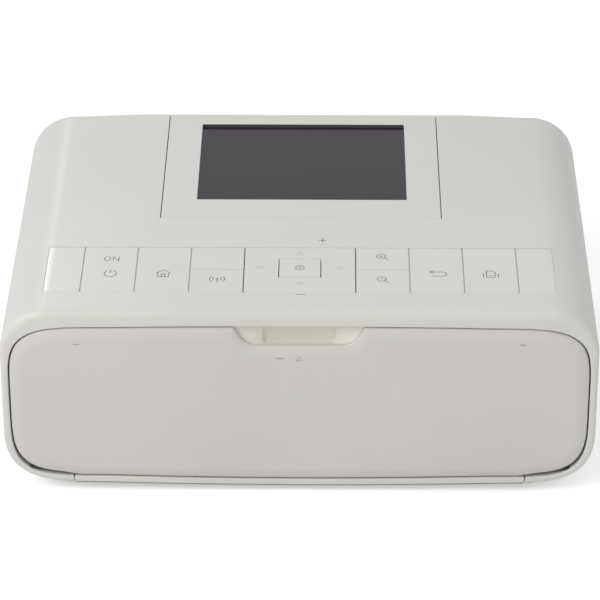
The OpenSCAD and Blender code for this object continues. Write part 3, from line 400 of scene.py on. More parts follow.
def section_rows(v, ys, y_inner, inner, sizes):
    """Rows of a wall's section from inside to outside: inner skin, back lip, rounded back
    edge, outer skin. Gives depths, Y values and the index of the first outer row."""
    q, y, split = back_rows(v, sizes)
    flat = np.ones_like(v)
    rows = [(inner, y0 * flat) for y0 in [y_inner] + ys]
    rows += [(inner, row) for row in y[:split]]
    rows += [(BACK_LIP, row) for row in y[split - 1:]]
    first = len(rows)
    rows += [(depth, row) for depth, row in zip(q[::-1], y[::-1])]
    rows += [(0.0, y0 * flat) for y0 in ys[::-1]]
    return rows, first


def shell_columns():
    """Places along the outline where the shell's grid has a column."""
    cuts = {0.0, v_at_x(DISPLAY_HALF), v_at_x(DISPLAY_HALF + HOLE_EDGE), V_SEAM}
    for _, edge, _, _, _ in openings():
        cuts |= {abs(edge[0]), abs(edge[1])}
    fill = np.concatenate([np.linspace(0, 1, 14), np.linspace(1, 2, 29), np.linspace(2, 3, 9),
                           np.linspace(3, 4, 31)])
    apart = 0.012
    fill = [f for f in fill if f < V_SEAM and min(abs(f - c) for c in cuts) > apart]
    half = np.array(sorted(set(fill) | cuts))
    return np.concatenate([-half[:0:-1], half])


def shell_lip(path, direction):
    """Rounded edge and wall of an opening. path holds, for each point, v and Y at the edge
    and at the wall, and the depths of the outer and the inner skin. A ring moves from edge to
    wall as 1 - sin a and sinks as 1 - cos a; both shrink where the wall is thin."""
    v_edge, v_wall, y_edge, y_wall, q, q_in = path
    full = np.clip((q_in - q) / WALL, 0, 1)
    rings = []
    for sink, near in quarter_round():
        p = body_skin(v_wall + near * (v_edge - v_wall), q, y_wall + near * (y_edge - y_wall))
        rings.append(p + np.outer(full * HOLE_EDGE * sink, direction))
    p = body_skin(v_wall, q, y_wall)
    rings.append(p + np.outer(full * (WALL - LIP_SHORT), direction))
    rings.append(body_skin(v_edge, q_in, y_edge))
    return np.array(rings)


def hole_lip(cols, ys, opening):
    """Lip of a closed opening: once round it, through the grid's own columns and rows."""
    wall, edge, y_wall, y_edge, direction = opening
    near = 1e-9
    vs = cols[(cols > edge[0] - near) & (cols < edge[1] + near)]
    yr = np.array([y for y in ys if y_edge[0] - near < y < y_edge[1] + near])
    fv, fy = (vs - vs[0]) / (vs[-1] - vs[0]), (yr - yr[0]) / (yr[-1] - yr[0])
    fv, fy = (np.concatenate([fv, np.ones(len(fy) - 2), fv[::-1], np.zeros(len(fy) - 2)]),
              np.concatenate([np.zeros(len(fv)), fy[1:-1], np.ones(len(fv)), fy[-2:0:-1]]))
    path = (edge[0] + fv * (edge[1] - edge[0]), wall[0] + fv * (wall[1] - wall[0]),
            y_edge[0] + fy * (y_edge[1] - y_edge[0]),
            y_wall[0] + fy * (y_wall[1] - y_wall[0]), np.zeros(len(fv)), WALL)
    return loft(shell_lip(path, direction), caps=False)


def display_lip(cols, ys, sizes):
    """Lip of the display's opening, which is open at the back: in along one side, across
    the front and out along the other side. Each point of the outer skin has its partner on
    the inner skin."""
    shift, wall = v_at_x(DISPLAY_HALF + HOLE_EDGE), v_at_x(DISPLAY_HALF)
    y0 = DISPLAY_FRONT - HOLE_EDGE
    q, y, split = back_rows(np.array([shift]), sizes)
    order = np.concatenate([np.arange(len(q) - 1, split - 2, -1), np.arange(split - 1, -1, -1)])
    inner = np.concatenate([np.full(len(q) - split + 1, BACK_LIP), np.full(split, WALL)])
    flat = [y1 for y1 in ys[::-1] if y1 > y0 + 1e-9]
    side_q = np.concatenate([q[order, 0], np.zeros(len(flat))])
    side_y = np.concatenate([y[order, 0], flat])
    side_in = np.concatenate([inner, np.full(len(flat), WALL)])
    vs = cols[(cols > -shift - 1e-9) & (cols < shift + 1e-9)]
    n, m = len(side_q), len(vs)
    path = (np.concatenate([np.full(n, -shift), vs, np.full(n, shift)]),
            np.concatenate([np.full(n, -wall), vs * wall / shift, np.full(n, wall)]),
            np.concatenate([side_y, np.full(m, y0), side_y[::-1]]),
            np.concatenate([side_y, np.full(m, DISPLAY_FRONT), side_y[::-1]]),
            np.concatenate([side_q, np.zeros(m), side_q[::-1]]),
            np.concatenate([side_in, np.full(m, WALL), side_in[::-1]]))
    rings = shell_lip(path, (0, 0, -1))
    return rings.reshape(-1, 3), quads(len(rings), rings.shape[1]).tolist()


# Axis of the display's hinge, and radius of the panel's front round it
HINGE_Y, HINGE_Z, PANEL_ROUND = -4.6, 61.0, 3.3


def display_well():
    """Trough under the display: a floor whose front curls up round the hinge, carried
    along X with a wall at each end."""
    z_floor, under, y_end, thick, room, curl = 57.5, 56.1, 64.0, 1.6, 0.22, 212
    r = PANEL_ROUND + room
    a = np.linspace(-QUARTER, -math.radians(curl), 14)
    inside = [(y_end, z_floor), *zip(HINGE_Y + r * np.cos(a), HINGE_Z + r * np.sin(a))]
    front = HINGE_Y - r - thick
    outside = [(front, inside[-1][1]), (front, 59.5), (front + 1, under + 0.6),
               (front + 2.2, under), (y_end, under)]
    loop = np.array(inside + outside)
    half = DISPLAY_HALF + 1.8
    made = [loft([np.stack([np.full(len(loop), x), loop[:, 0], loop[:, 1]], -1)
                  for x in np.linspace(-half, half, 5)])]
    for side in (-1, 1):
        near, far = sorted((side * DISPLAY_HALF, side * half))
        made.append(loft([rect_ring(near, far, front, y_end, z, 0.2)
                          for z in (under, Z_TOP - WALL + 0.05)]))
    return made


def build_shell(sizes, material):
    """The shell is a closed section, carried round the body's outline: inner skin, back
    lip, outer skin, front rim, and the wall round the front cover. Cells in an opening are
    left out, and a rounded lip joins the outer skin to the inner one there."""
    cols = shell_columns()
    found = openings()
    cuts = {DISPLAY_FRONT - HOLE_EDGE}
    for _, _, _, edge, _ in found:
        cuts |= set(edge)
    y_end, reach, apart = 61.0, -60.0, 1.0
    fill = [y for y in np.linspace(reach, y_end - 4, 15) if min(abs(y - c) for c in cuts) > apart]
    ys = sorted(cuts | set(fill) | {y_end})
    rows, _ = section_rows(cols, ys, Y_CAVITY, WALL, sizes)
    grid = [body_skin(cols, q, y) for q, y in rows]
    radius = rim_radius(cols, sizes)
    for along, down in quarter_round(8):
        grid.append(body_skin(cols, radius * along, Y_RIM + radius * down))
    lip = 0.4
    for along, down in quarter_round():
        grid.append(cover_wall(cols, EDGE_GAP + lip * down, Y_RIM + lip * along))
    grid.append(cover_wall(cols, EDGE_GAP, Y_CAVITY))
    grid = np.array(grid)
    keep = np.ones((len(grid), len(cols) - 1), bool)
    mid = (cols[1:] + cols[:-1]) / 2
    row_y = np.array([float(np.mean(y)) for _, y in rows])
    shift = v_at_x(DISPLAY_HALF + HOLE_EDGE)
    spans = [(edge, y_edge) for _, edge, _, y_edge, _ in found]
    spans.append(((-shift, shift), (DISPLAY_FRONT - HOLE_EDGE, 2 * Y_BACK)))
    row_mid = (row_y[1:] + row_y[:-1]) / 2
    for (v0, v1), (y0, y1) in spans:
        hit = np.outer((row_mid > y0) & (row_mid < y1), (mid > v0) & (mid < v1))
        keep[:len(row_mid)][hit] = False
    parts = [(grid.reshape(-1, 3), quads(len(grid), len(cols), wrap_rows=True, keep=keep))]
    for c in (0, len(cols) - 1):
        parts.append((grid[:, c], [list(range(len(grid)))]))
    parts += [hole_lip(cols, ys, opening) for opening in found]
    parts.append(display_lip(cols, ys, sizes))
    parts += display_well()
    # Small nub below the front corner beside each seam
    for side in (-1, 1):
        x0, x1 = sorted((side * (SEAM + 0.1), side * (SEAM + 2.6)))
        parts.append(slab(x0, x1, Y_RIM + 1.2, Y_RIM + 3.4, 2.2, 4.2, 0.5, 0.3, 0.35))
    return piece("upper_shell_skin", parts, material, "body", ["upper_shell"])


def build_bottom(sizes, material):
    """The bottom cover is a closed trough section, carried along X between the seams: the
    inner floor, back lip, crowned underside, the front strip's rounded foot and face, and
    its lip under the front cover."""
    half = SEAM - SEAM_GAP
    xs = np.linspace(-half, half, 61)
    vs = v_at_foot(xs, BODY)
    foot, lip, thick, y_step = 0.3, 0.35, 2.2, Y_RIM + 2.4
    # Fine groove above the foot: depths below the skin and Y behind the rim
    groove = ((0.3, 0.05), (0.33, 0.9), (0.62, 0.9), (0.65, 0.08), (0.75, 0.0))
    rows, _ = section_rows(vs, [0.0, 61.0], y_step, thick, sizes)
    grid = [body_skin(vs, q, y) for q, y in rows]
    for along, down in quarter_round(7):
        grid.append(body_skin(vs, foot * along, Y_RIM + foot * down))
    grid += [body_skin(vs, q, Y_RIM + y) for q, y in groove]
    for along, down in quarter_round():
        grid.append(cover_sill(xs, EDGE_GAP + lip * down, Y_RIM + lip * along))
    grid.append(cover_sill(xs, EDGE_GAP, y_step))
    grid = np.array(grid)
    made = [(grid.reshape(-1, 3), quads(len(grid), len(xs), wrap_rows=True).tolist())]
    for c in (0, len(xs) - 1):
        made.append((grid[:, c], [list(range(len(grid)))]))
    for side in (-1, 1):
        x0, x1 = sorted((side * (half - 1.6), side * (half - 0.1)))
        made.append(slab(x0, x1, Y_RIM + 1.2, Y_RIM + 3.4, 2.1, 4.0, 0.5, 0.3, 0.35))
        # Tongue that closes the seam from behind
        x0, x1 = sorted((side * (half - 0.6), side * (half + 1.0)))
        made.append(slab(x0, x1, Y_RIM + 0.9, Y_RIM + 4.0, 2.9, 4.4, 0.2, 0.1))
    return piece("bottom_cover_skin", made, material, "body", ["bottom_cover"])


# Front cover

# Finger scoop: half width at the top, run of its side along X, and depth
SCOOP_HALF, SCOOP_RUN, SCOOP_DROP = 19.9, 9.0, 6.4
# The face lies behind the CAD solid's by the height of the marks on it
COVER_FACE = Y_FACE + MARK
COVER_THICK = 2.2
# The lower corners stand higher, clear of the rim when the cover turns. The lift grows to its
# full height between these X values, outwards, and these Z values, downwards
CORNER_LIFT, LIFT_X, LIFT_Z = 0.8, (66, 74), (26, 12)


def scoop_rise(s):
    """Height of the scoop's side, 0 to 1, at the share s of its run: it leaves the floor
    slowly and turns level again within a short way of the top."""
    return 1 - (1 - s ** 3.5) ** 1.3


def cover_ring(d, y):
    """The front cover's edge at distance d inside it. From the scoop's middle: level floor,
    the scoop's side, crown, then the outline's corner, side, corner and foot."""
    o = grown(COVER, -EDGE_GAP - d)
    slant = 0.414
    shift = SCOOP_HALF + slant * d
    floor = np.linspace(0, shift - SCOOP_RUN, 6)[:-1]
    s = np.linspace(0, 1, 22)[:-1]
    v = np.concatenate([np.linspace(shift / o["cx1"], 1, 9)[:-1], np.linspace(1, 2, 30)[:-1],
                        np.linspace(2, 3, 4)[:-1], np.linspace(3, 4, 30)[:-1],
                        np.linspace(4, 5, 14)])
    x, z = outline_point(v, o)
    z_floor = o["top"] - SCOOP_DROP
    x = np.concatenate([floor, shift - SCOOP_RUN * (1 - s), x])
    z = np.concatenate([np.full_like(floor, z_floor),
                        z_floor + (z[0] - z_floor) * scoop_rise(s), z])
    z = z + CORNER_LIFT * smooth(share(x, *LIFT_X)) * smooth(share(z, *LIFT_Z))
    x = np.concatenate([x, -x[-2:0:-1]])
    z = np.concatenate([z, z[-2:0:-1]])
    return np.stack([x, np.full_like(x, y), z], -1)


def build_front_cover(sizes, material):
    """The cover's face: its edge turns through a quarter circle, rises over a soft bevel
    and runs out flat. The bevel's depth is a power of the distance left to its end."""
    deep, wide, edge = mm(sizes.bevel_depth), mm(sizes.bevel_width), mm(sizes.cover_edge)
    back = Y_FACE + COVER_THICK
    rings = [cover_ring(0.1, back), cover_ring(0.0, back - 0.1)]
    front, slope, power = COVER_FACE + deep, 1.6, 1.7
    for along, down in quarter_round(6):
        rings.append(cover_ring(edge * along, front + edge * down
                                - slope * deep * edge * along / wide))
    for t in np.linspace(edge / wide, 1, 12)[1:]:
        rings.append(cover_ring(wide * t, COVER_FACE + deep * (1 - t) ** power))
    return piece("front_cover_skin", [loft(rings)], material, "front_cover",
                 ["front_cover"])


def build_cover_marks(material):
    """Marks on the cover: a dash at each upper corner, and a dash and a small arrow head
    below the scoop."""
    paths = [(((x - 1.05, z), (x + 1.05, z)), 0.34) for x, z in ((-67.0, 52.4), (67.1, 52.7))]
    paths += [(((-7.0, 47.8), (-4.7, 47.8)), 0.34)]
    made = []
    for path, width in paths:
        made.append(upright(stroke(path, width)))
    made.append(upright(stroke([(-0.9, 47.0), (0.0, 48.4), (0.9, 47.0)], 0.34, closed=True)))
    return piece("cover_marks", made, material, "front_cover")


def upright(inlay):
    """An inlay drawn in the plane, stood up on the cover's face."""
    points, faces = inlay
    return np.stack([points[:, 0], Y_FACE + 3 * MARK * (1 - points[:, 2]), points[:, 1]],
                    -1), faces


def build_liner(material):
    """The liner: a plate with a round edge and ribs, and the scoop's pocket, whose sides
    run from the S of the scoop's mouth in front to a plain corner at its back."""
    y0 = Y_FACE + COVER_THICK
    # Edge of the plate: distances inside the cover's outline and Y behind its back
    section = ((5.3, 0.02), (5.0, 0.3), (5.0, 1.1), (5.15, 1.38), (5.5, 1.5))
    made = [loft([cover_ring(d, y0 + y) for d, y in section])]
    half, soft, foot = 0.7, 0.3, y0 + 1.4
    for x in (-60, -30, 30, 60):
        made.append(slab(x - half, x + half, foot, y0 + 3.0, 14, 44, soft, soft))
    made.append(slab(-66, 66, foot, y0 + 2.6, 29 - half, 29 + half, soft, soft))
    made.append(scoop_pocket())
    return piece("cover_liner_skin", made, material, "front_cover", ["cover_liner"])


def scoop_pocket():
    """Thick sheet of the scoop's pocket. Across, a row is half of the mouth and its mirror
    image: floor, then wall. The mouth's S turns into an upright wall with a round foot by a
    smooth step of the depth, and the floor dips behind the cover's edge. The outer face is
    the inner one, stretched by the sheet's thickness."""
    floor, s = np.linspace(0, 1, 9)[:-1], np.linspace(0, 1, 26)
    slip, half, r, dip = 0.05, 10.9, 1.6, 0.5
    mouth_x = np.concatenate([floor * (SCOOP_HALF - SCOOP_RUN),
                              SCOOP_HALF - SCOOP_RUN * (1 - s) - slip])
    mouth_z = np.concatenate([np.zeros(len(floor)), SCOOP_DROP * scoop_rise(s)])
    a = np.clip(s / 0.4, 0, 1) * QUARTER
    rise = np.clip((s - 0.4) / 0.6, 0, 1) * (SCOOP_DROP + dip - r)
    back_x = np.concatenate([floor * (half - r), half - r + r * np.sin(a)])
    back_z = np.concatenate([np.zeros(len(floor)), r * (1 - np.cos(a)) + rise]) - dip
    top = COVER["top"] - EDGE_GAP + slip
    y_mouth, y_wall, bend = Y_FACE + COVER_THICK + 0.02, Y_FACE + 4.9, 0.8
    mirror = np.concatenate([np.arange(len(mouth_x) - 1, 0, -1), np.arange(len(mouth_x))])
    side = np.concatenate([-np.ones(len(mouth_x) - 1), np.ones(len(mouth_x))])

    def row(w, y, pull, out):
        """One row: w blends mouth and back, pull shrinks it and out stretches it."""
        x = mouth_x + (back_x - mouth_x) * w
        low = SCOOP_DROP - mouth_z - (back_z - mouth_z) * w
        x = x * (1 + (out - pull) / half)
        z = top - low * (1 + (out - pull) / (SCOOP_DROP + dip))
        return np.stack([side * x[mirror], np.full(len(mirror), y), z[mirror]], -1)

    thick, depth = 1.0, np.linspace(0, 1, 10)
    inner = [row(float(smooth(t * 1.15)), y_mouth + t * (y_wall - bend - y_mouth), 0, 0)
             for t in depth]
    inner += [row(1, y_wall - bend * down, bend * along, 0)
              for along, down in quarter_round(6)[1:]]
    outer = [row(float(smooth(t * 1.15)), y_mouth + t * (y_wall + thick - y_mouth), 0, thick)
             for t in depth]
    rings = np.array(inner[::-1] + outer)
    k, n = rings.shape[:2]
    faces = quads(k, n).tolist()
    faces += [list(range(n)), [(k - 1) * n + i for i in range(n)]]
    faces += [[i * n + c for i in range(k)] for c in (0, n - 1)]
    return rings.reshape(-1, 3), faces


# Display

# Window: its X range and its Y range
WINDOW = (-33.1, 33.5, 4.8, 58.05)
# Half width of the panel, its back and its underside
PANEL_HALF, PANEL_BACK, PANEL_LOW = 44.0, 66.95, 57.9


def panel_ring(z, inset=0.0):
    """Edge of the display panel at height z. Its front is a circle round the hinge axis and
    its back turns down through a quarter circle."""
    r = 2.6
    front = HINGE_Y - math.sqrt(PANEL_ROUND ** 2 - (z - HINGE_Z) ** 2)
    drop = min(max(0.0, z - (Z_TOP - r)), r)
    back = PANEL_BACK - r + math.sqrt(r ** 2 - drop ** 2)
    return rect_ring(-PANEL_HALF + inset, PANEL_HALF - inset, front + max(inset, 0), back, z, 0.3)


def build_display(shell, dark, glass):
    """Frame of the display: rings go up the pocket and the window's wall, across the top
    and down outside. Below its edge the frame is a little wider, which closes the gap."""
    edge, wide = 0.2, -0.16
    rings = []
    for grow, z in ((3.0, PANEL_LOW), (3.0, 61.2), (2.0, 61.2), (2.0, 62.2), (0.0, 62.2)):
        rings.append((WINDOW[0] - grow, WINDOW[1] + grow, WINDOW[2] - grow,
                      WINDOW[3] + grow, z, 0.25))
    for along, down in quarter_round():
        d = edge * along
        rings.append((WINDOW[0] - d, WINDOW[1] + d, WINDOW[2] - d, WINDOW[3] + d,
                      Z_TOP - edge * down, 0.35))
    rings = [rect_ring(*r) for r in rings]
    for along, down in quarter_round()[::-1]:
        rings.append(panel_ring(Z_TOP - edge * down, edge * along))
    rings.append(panel_ring(62.75))
    for z in (62.6, 62.3, 61.9, 61.3, 60.6, 59.8, 59.0, 58.4, PANEL_LOW + 0.2):
        rings.append(panel_ring(z, wide))
    rings.append(panel_ring(PANEL_LOW, 0.2))
    piece("display_frame_skin", [loft(rings, closed=True)], shell, "display",
          ["display_frame"])
    # Dark lining of the window's wall
    lining = []
    for d, z in ((0.03, 62.16), (-0.25, 62.16), (-0.25, 62.3), (-0.03, 62.42),
                 (-0.02, Z_TOP - edge - 0.02), (0.03, Z_TOP - edge - 0.02)):
        lining.append(rect_ring(WINDOW[0] - d, WINDOW[1] + d, WINDOW[2] - d, WINDOW[3] + d, z,
                                0.25))
    piece("window_lining", [loft(lining, closed=True)], dark, "display")
    pane = slab(WINDOW[0] - 1.9, WINDOW[1] + 1.9, WINDOW[2] - 1.9, WINDOW[3] + 1.9, 61.22,
                62.18, 0.4, 0.12)
    piece("display_glass_pane", [pane], glass, "display", ["display_glass"])


# Keys

# Pitch of the key columns, what the direction pad has over two of them on each side, and the
# gap between two columns
PITCH, PAD_EXTRA, KEY_GAP = 16.43, 0.65, 0.36
# Y range of the strip, and the line between a back key and a front key with its gap
STRIP = (-54.8, -26.9)
SPLIT, SPLIT_GAP = -40.55, 0.26
# X range and Y range of the middle key
OK_SPAN = (-6.3, 6.3, -45.2, -34.1)
# Stems under the caps: half width and lower end
STEM_HALF, STEM_LOW = 1.5, 58.6
# Ribs of the carrier that show at the bottom of the gaps
RIB_TOP = Z_KEY_TOP - 0.45


def column(i):
    """Left edge of a key column, counted from the strip's middle."""
    return i * PITCH + math.copysign(PAD_EXTRA, i)


def key_places():
    """Every plain key: its name, column and Y range."""
    full = (STRIP[0], STRIP[1])
    back, front = (SPLIT + SPLIT_GAP / 2, STRIP[1]), (STRIP[0], SPLIT - SPLIT_GAP / 2)
    return {
        "power_key": (-4, full), "home_key": (-3, full), "menu_key": (-2, back),
        "wireless_key": (-2, front), "zoom_in_key": (1, back), "zoom_out_key": (1, front),
        "back_key": (2, full), "print_key": (3, full),
    }


def stem(x, y):
    """Stem under a key cap."""
    h = STEM_HALF
    return slab(x - h, x + h, y - h, y + h, STEM_LOW, Z_KEY + 0.3, 0.3, 0.1)


def build_keys(sizes, material):
    """Plain caps are blocks with soft edges; the pad is such a block with a hole."""
    edge, square = mm(sizes.key_edge), 0.25
    for name, (i, (y0, y1)) in key_places().items():
        x0, x1 = column(i) + KEY_GAP / 2, column(i + 1) - KEY_GAP / 2
        cap = slab(x0, x1, y0, y1, Z_KEY, Z_KEY_TOP, square, edge)
        piece(name + "_cap", [cap, stem((x0 + x1) / 2, (y0 + y1) / 2)], material, name,
              [name])
    x0, x1 = column(-1) + KEY_GAP / 2, column(1) - KEY_GAP / 2
    slip = 0.24
    hole = (OK_SPAN[0] - slip, OK_SPAN[1] + slip, OK_SPAN[2] - slip, OK_SPAN[3] + slip)
    pad = framed_slab((x0, x1, *STRIP), hole, Z_KEY, Z_KEY_TOP, square, edge)
    reach = (column(1) + OK_SPAN[1]) / 2
    mid = (OK_SPAN[2] + OK_SPAN[3]) / 2
    piece("direction_pad_cap", [pad, stem(-reach, mid), stem(reach, mid)], material,
          "direction_pad", ["direction_pad"])
    cap = slab(*OK_SPAN, Z_KEY, Z_TOP - MARK, 0.4, 0.22)
    piece("ok_key_cap", [cap, stem(0, mid)], material, "ok_key", ["ok_key"])


def end_cap(side, edge):
    """Blank end of the strip: a section with soft edges, carried along X, whose top keeps
    a fixed depth below the body's curve."""
    x0, x1 = abs(column(4)) + KEY_GAP / 2, 77.58
    turn = np.linspace(0, QUARTER, 5)
    inset = edge * (1 - np.sin(turn))
    rise = edge * (1 - np.cos(turn))
    level = [(x, 0) for x in np.linspace(x0 + edge, x1 - edge, 12)[1:-1]]
    places = [*zip(x0 + rise, inset), *level, *zip(x1 - rise[::-1], inset[::-1])]
    rings = []
    for x, d in places:
        z1 = outline_point(np.array([v_at_x(x)]), BODY)[1][0] - (Z_TOP - Z_KEY_TOP) - d
        y0, y1 = STRIP[0] + d, STRIP[1] - d
        y = np.concatenate([y1 - edge + edge * np.cos(turn), y0 + edge - edge * np.sin(turn),
                            [y0, y1]])
        z = np.concatenate([z1 - edge + edge * np.sin(turn), z1 - edge + edge * np.cos(turn),
                            [60.0, 60.0]])
        rings.append(np.stack([np.full_like(y, side * x), y, z], -1))
    return loft(rings)


def build_carrier(sizes, material):
    """Carrier of the keys: a flat frame below them, the blank ends, and a rib in each gap
    between two keys."""
    edge = mm(sizes.key_edge)
    inner = (column(-4), column(4), STRIP[0] + 1, STRIP[1] - 1)
    made = [framed_slab((-75.7, 75.7, STRIP[0] - 3, STRIP[1] + 3), inner, 59.4, 60.55, 0.5, 0.2)]
    made += [end_cap(side, edge) for side in (-1, 1)]
    slim, low = 0.02, Z_KEY - 1.6
    for i in (-4, -3, -2, -1, 1, 2, 3, 4):
        x, h = column(i), KEY_GAP / 2 - slim
        # Room for the pad, which rocks
        left, right = 0.16 * (i == 1), 0.16 * (i == -1)
        made.append(slab(x - h + left, x + h - right, *STRIP, low, RIB_TOP, 0.06, 0.04, 0.03))
    for i in (-2, 1):
        h = SPLIT_GAP / 2 - slim
        made.append(slab(column(i) + 0.3, column(i + 1) - 0.3, SPLIT - h, SPLIT + h, low,
                         RIB_TOP, 0.06, 0.04, 0.03))
    return piece("key_carrier", made, material, "body", ["key_bezel"])


def arc(x, y, rx, ry, start, end, count=20):
    """Points on an ellipse about (x, y) between two angles in degrees."""
    a = np.radians(np.linspace(start, end, count))
    return np.stack([x + rx * np.cos(a), y + ry * np.sin(a)], -1)


def ring_icon(x, y, rx, ry, width):
    """A closed ellipse as a stroke."""
    return stroke(arc(x, y, rx, ry, 0, 345, 24), width, closed=True)


def power_icon(x, y, w):
    """Ring open at the back with a bar in the opening, and the word ON above it."""
    word = y + 9.2
    return [stroke(arc(x, y, 1.85, 2.0, 120, 420), w), stroke([(x, y + 0.3), (x, y + 2.2)], w),
            ring_icon(x - 1.35, word, 0.95, 1.25, w),
            stroke([(x + 0.45, word - 1.3), (x + 0.45, word + 1.3)], w),
            stroke([(x + 0.45, word + 1.15), (x + 2.15, word - 1.15)], w),
            stroke([(x + 2.15, word - 1.3), (x + 2.15, word + 1.3)], w)]


def home_icon(x, y, w):
    """House: two roof slopes, walls, a sill and a door."""
    half, eave, low, ridge = 1.65, y + 0.2, y - 2.1, y + 2.2
    lines = [((x - 2.2, eave), (x, ridge)), ((x, ridge), (x + 2.2, eave)),
             ((x - half, eave), (x - half, low)), ((x + half, eave), (x + half, low)),
             ((x - half, low), (x + half, low)), ((x - 0.55, low), (x - 0.55, y - 0.4)),
             ((x + 0.55, low), (x + 0.55, y - 0.4)), ((x - 0.55, y - 0.4), (x + 0.55, y - 0.4))]
    return [stroke(line, w) for line in lines]


def wireless_icon(x, y, w):
    """Mast with a dot and two arcs on each side."""
    made = [ring_icon(x, y + 0.6, 0.28, 0.28, w), stroke([(x, y + 0.3), (x, y - 1.7)], w)]
    for r in (1.3, 2.3):
        made += [stroke(arc(x, y + 0.4, r, r * 0.9, turn - 48, turn + 48), w) for turn in (0, 180)]
    return made


def arrow_icon(x, y, turn, w):
    """Triangle that points along the angle turn."""
    a = np.radians(turn + np.array([0, 125, 235]))
    corners = np.stack([x + 1.25 * np.cos(a), y + 1.25 * np.sin(a)], -1)
    t = np.linspace(0, 1, 7)[:-1, None]
    sides = [corners[i] + (corners[(i + 1) % 3] - corners[i]) * t for i in range(3)]
    return [stroke(np.concatenate(sides), w, closed=True)]


def lens_icon(x, y, w, plus):
    """Magnifier with a minus or a plus in its ring."""
    cx, cy, r = x - 0.5, y + 0.5, 1.35
    made = [ring_icon(cx, cy, r, r, w), stroke([(cx + 0.95, cy - 0.95), (x + 1.7, y - 1.7)], w),
            stroke([(cx - 0.6, cy), (cx + 0.6, cy)], w * 0.8)]
    if plus:
        made.append(stroke([(cx, cy - 0.6), (cx, cy + 0.6)], w * 0.8))
    return made


def return_icon(x, y, w):
    """Arrow that turns back: head and upper run, half circle, lower run."""
    run = np.concatenate([[(x - 2.3, y + 1.3)], arc(x + 1.3, y, 1.3, 1.3, 90, -90),
                          [(x - 1.9, y - 1.3)]])
    return [stroke(run, w), stroke([(x - 1.3, y + 2.2), (x - 2.4, y + 1.3)], w),
            stroke([(x - 2.4, y + 1.3), (x - 1.3, y + 0.4)], w)]


def print_icon(x, y, w):
    """Sheet with a folded corner between two trays."""
    sheet = [(x - 1.3, y - 1.9), (x - 1.3, y + 2.0), (x + 0.5, y + 2.0), (x + 1.3, y + 1.1),
             (x + 1.3, y - 1.9)]
    made = [stroke([a, b], w) for a, b in zip(sheet, sheet[1:] + sheet[:1])]
    made += [stroke([(x + s * 2.3, y - 1.9), (x + s * 2.3, y + 0.3)], w) for s in (-1, 1)]
    made.append(stroke([(x - 0.7, y - 0.8), (x + 0.7, y - 0.8)], w))
    return made


def build_icons(material, pale):
    """Icons laid into the key tops, the ring on the middle key, and the two signs on the
    shell behind and in front of the strip."""
    w, mid = 0.3, (OK_SPAN[2] + OK_SPAN[3]) / 2
    drawn = {
        "power_key": power_icon(-57.8, -43.5, w), "home_key": home_icon(-41.6, -43.3, w),
        "wireless_key": wireless_icon(-25.1, -47.1, w), "back_key": return_icon(42.1, -43.2, w),
        "zoom_in_key": lens_icon(25.4, -32.6, w, True),
        "zoom_out_key": lens_icon(25.4, -46.9, w, False),
        "print_key": print_icon(58.2, -43.2, w),
    }
    for key, inlay in drawn.items():
        piece(key + "_icon", [laid(i, Z_KEY_TOP) for i in inlay], material, key)
    arrows = [a for x, y, turn in ((-0.1, -30.6, 90), (0, -49.4, -90), (-12.2, -39.4, 180),
                                   (12.3, -39.4, 0)) for a in arrow_icon(x, y, turn, 0.24)]
    piece("direction_pad_icon", [laid(i, Z_KEY_TOP) for i in arrows], pale, "direction_pad")
    piece("ok_key_icon", [laid(i, Z_TOP - MARK) for i in (ring_icon(0, mid, 1.3, 1.3, w),
          ring_icon(0, mid, 0.28, 0.28, w))], material, "ok_key")
    signs = [stroke([(5.7, -22.3), (8.1, -22.3)], w), stroke([(6.9, -23.5), (6.9, -21.1)], w),
             stroke([(-1.0, -56.2), (1.8, -56.2)], w)]
    piece("shell_signs", [laid(i, Z_TOP - MARK) for i in signs], material, "body")


def laid(inlay, z):
    """An inlay drawn in the plane, laid into a level face at height z: it is sunk by twice
    the height by which it stands out."""
    points, faces = inlay
    return points * (1, 1, 3 * MARK) + (0, 0, z - 2 * MARK), faces


# Door, feet and screws

# Door: Y range, hinge axis, upper edge, outer face and thickness; and its finger notch
DOOR = dict(y0=-3.61, y1=54.89, axis_x=89.1, axis_z=26.1, top=47.9, out=90.3, thick=2.4)
NAIL = dict(half=8.0, deep=0.8, high=3.0)


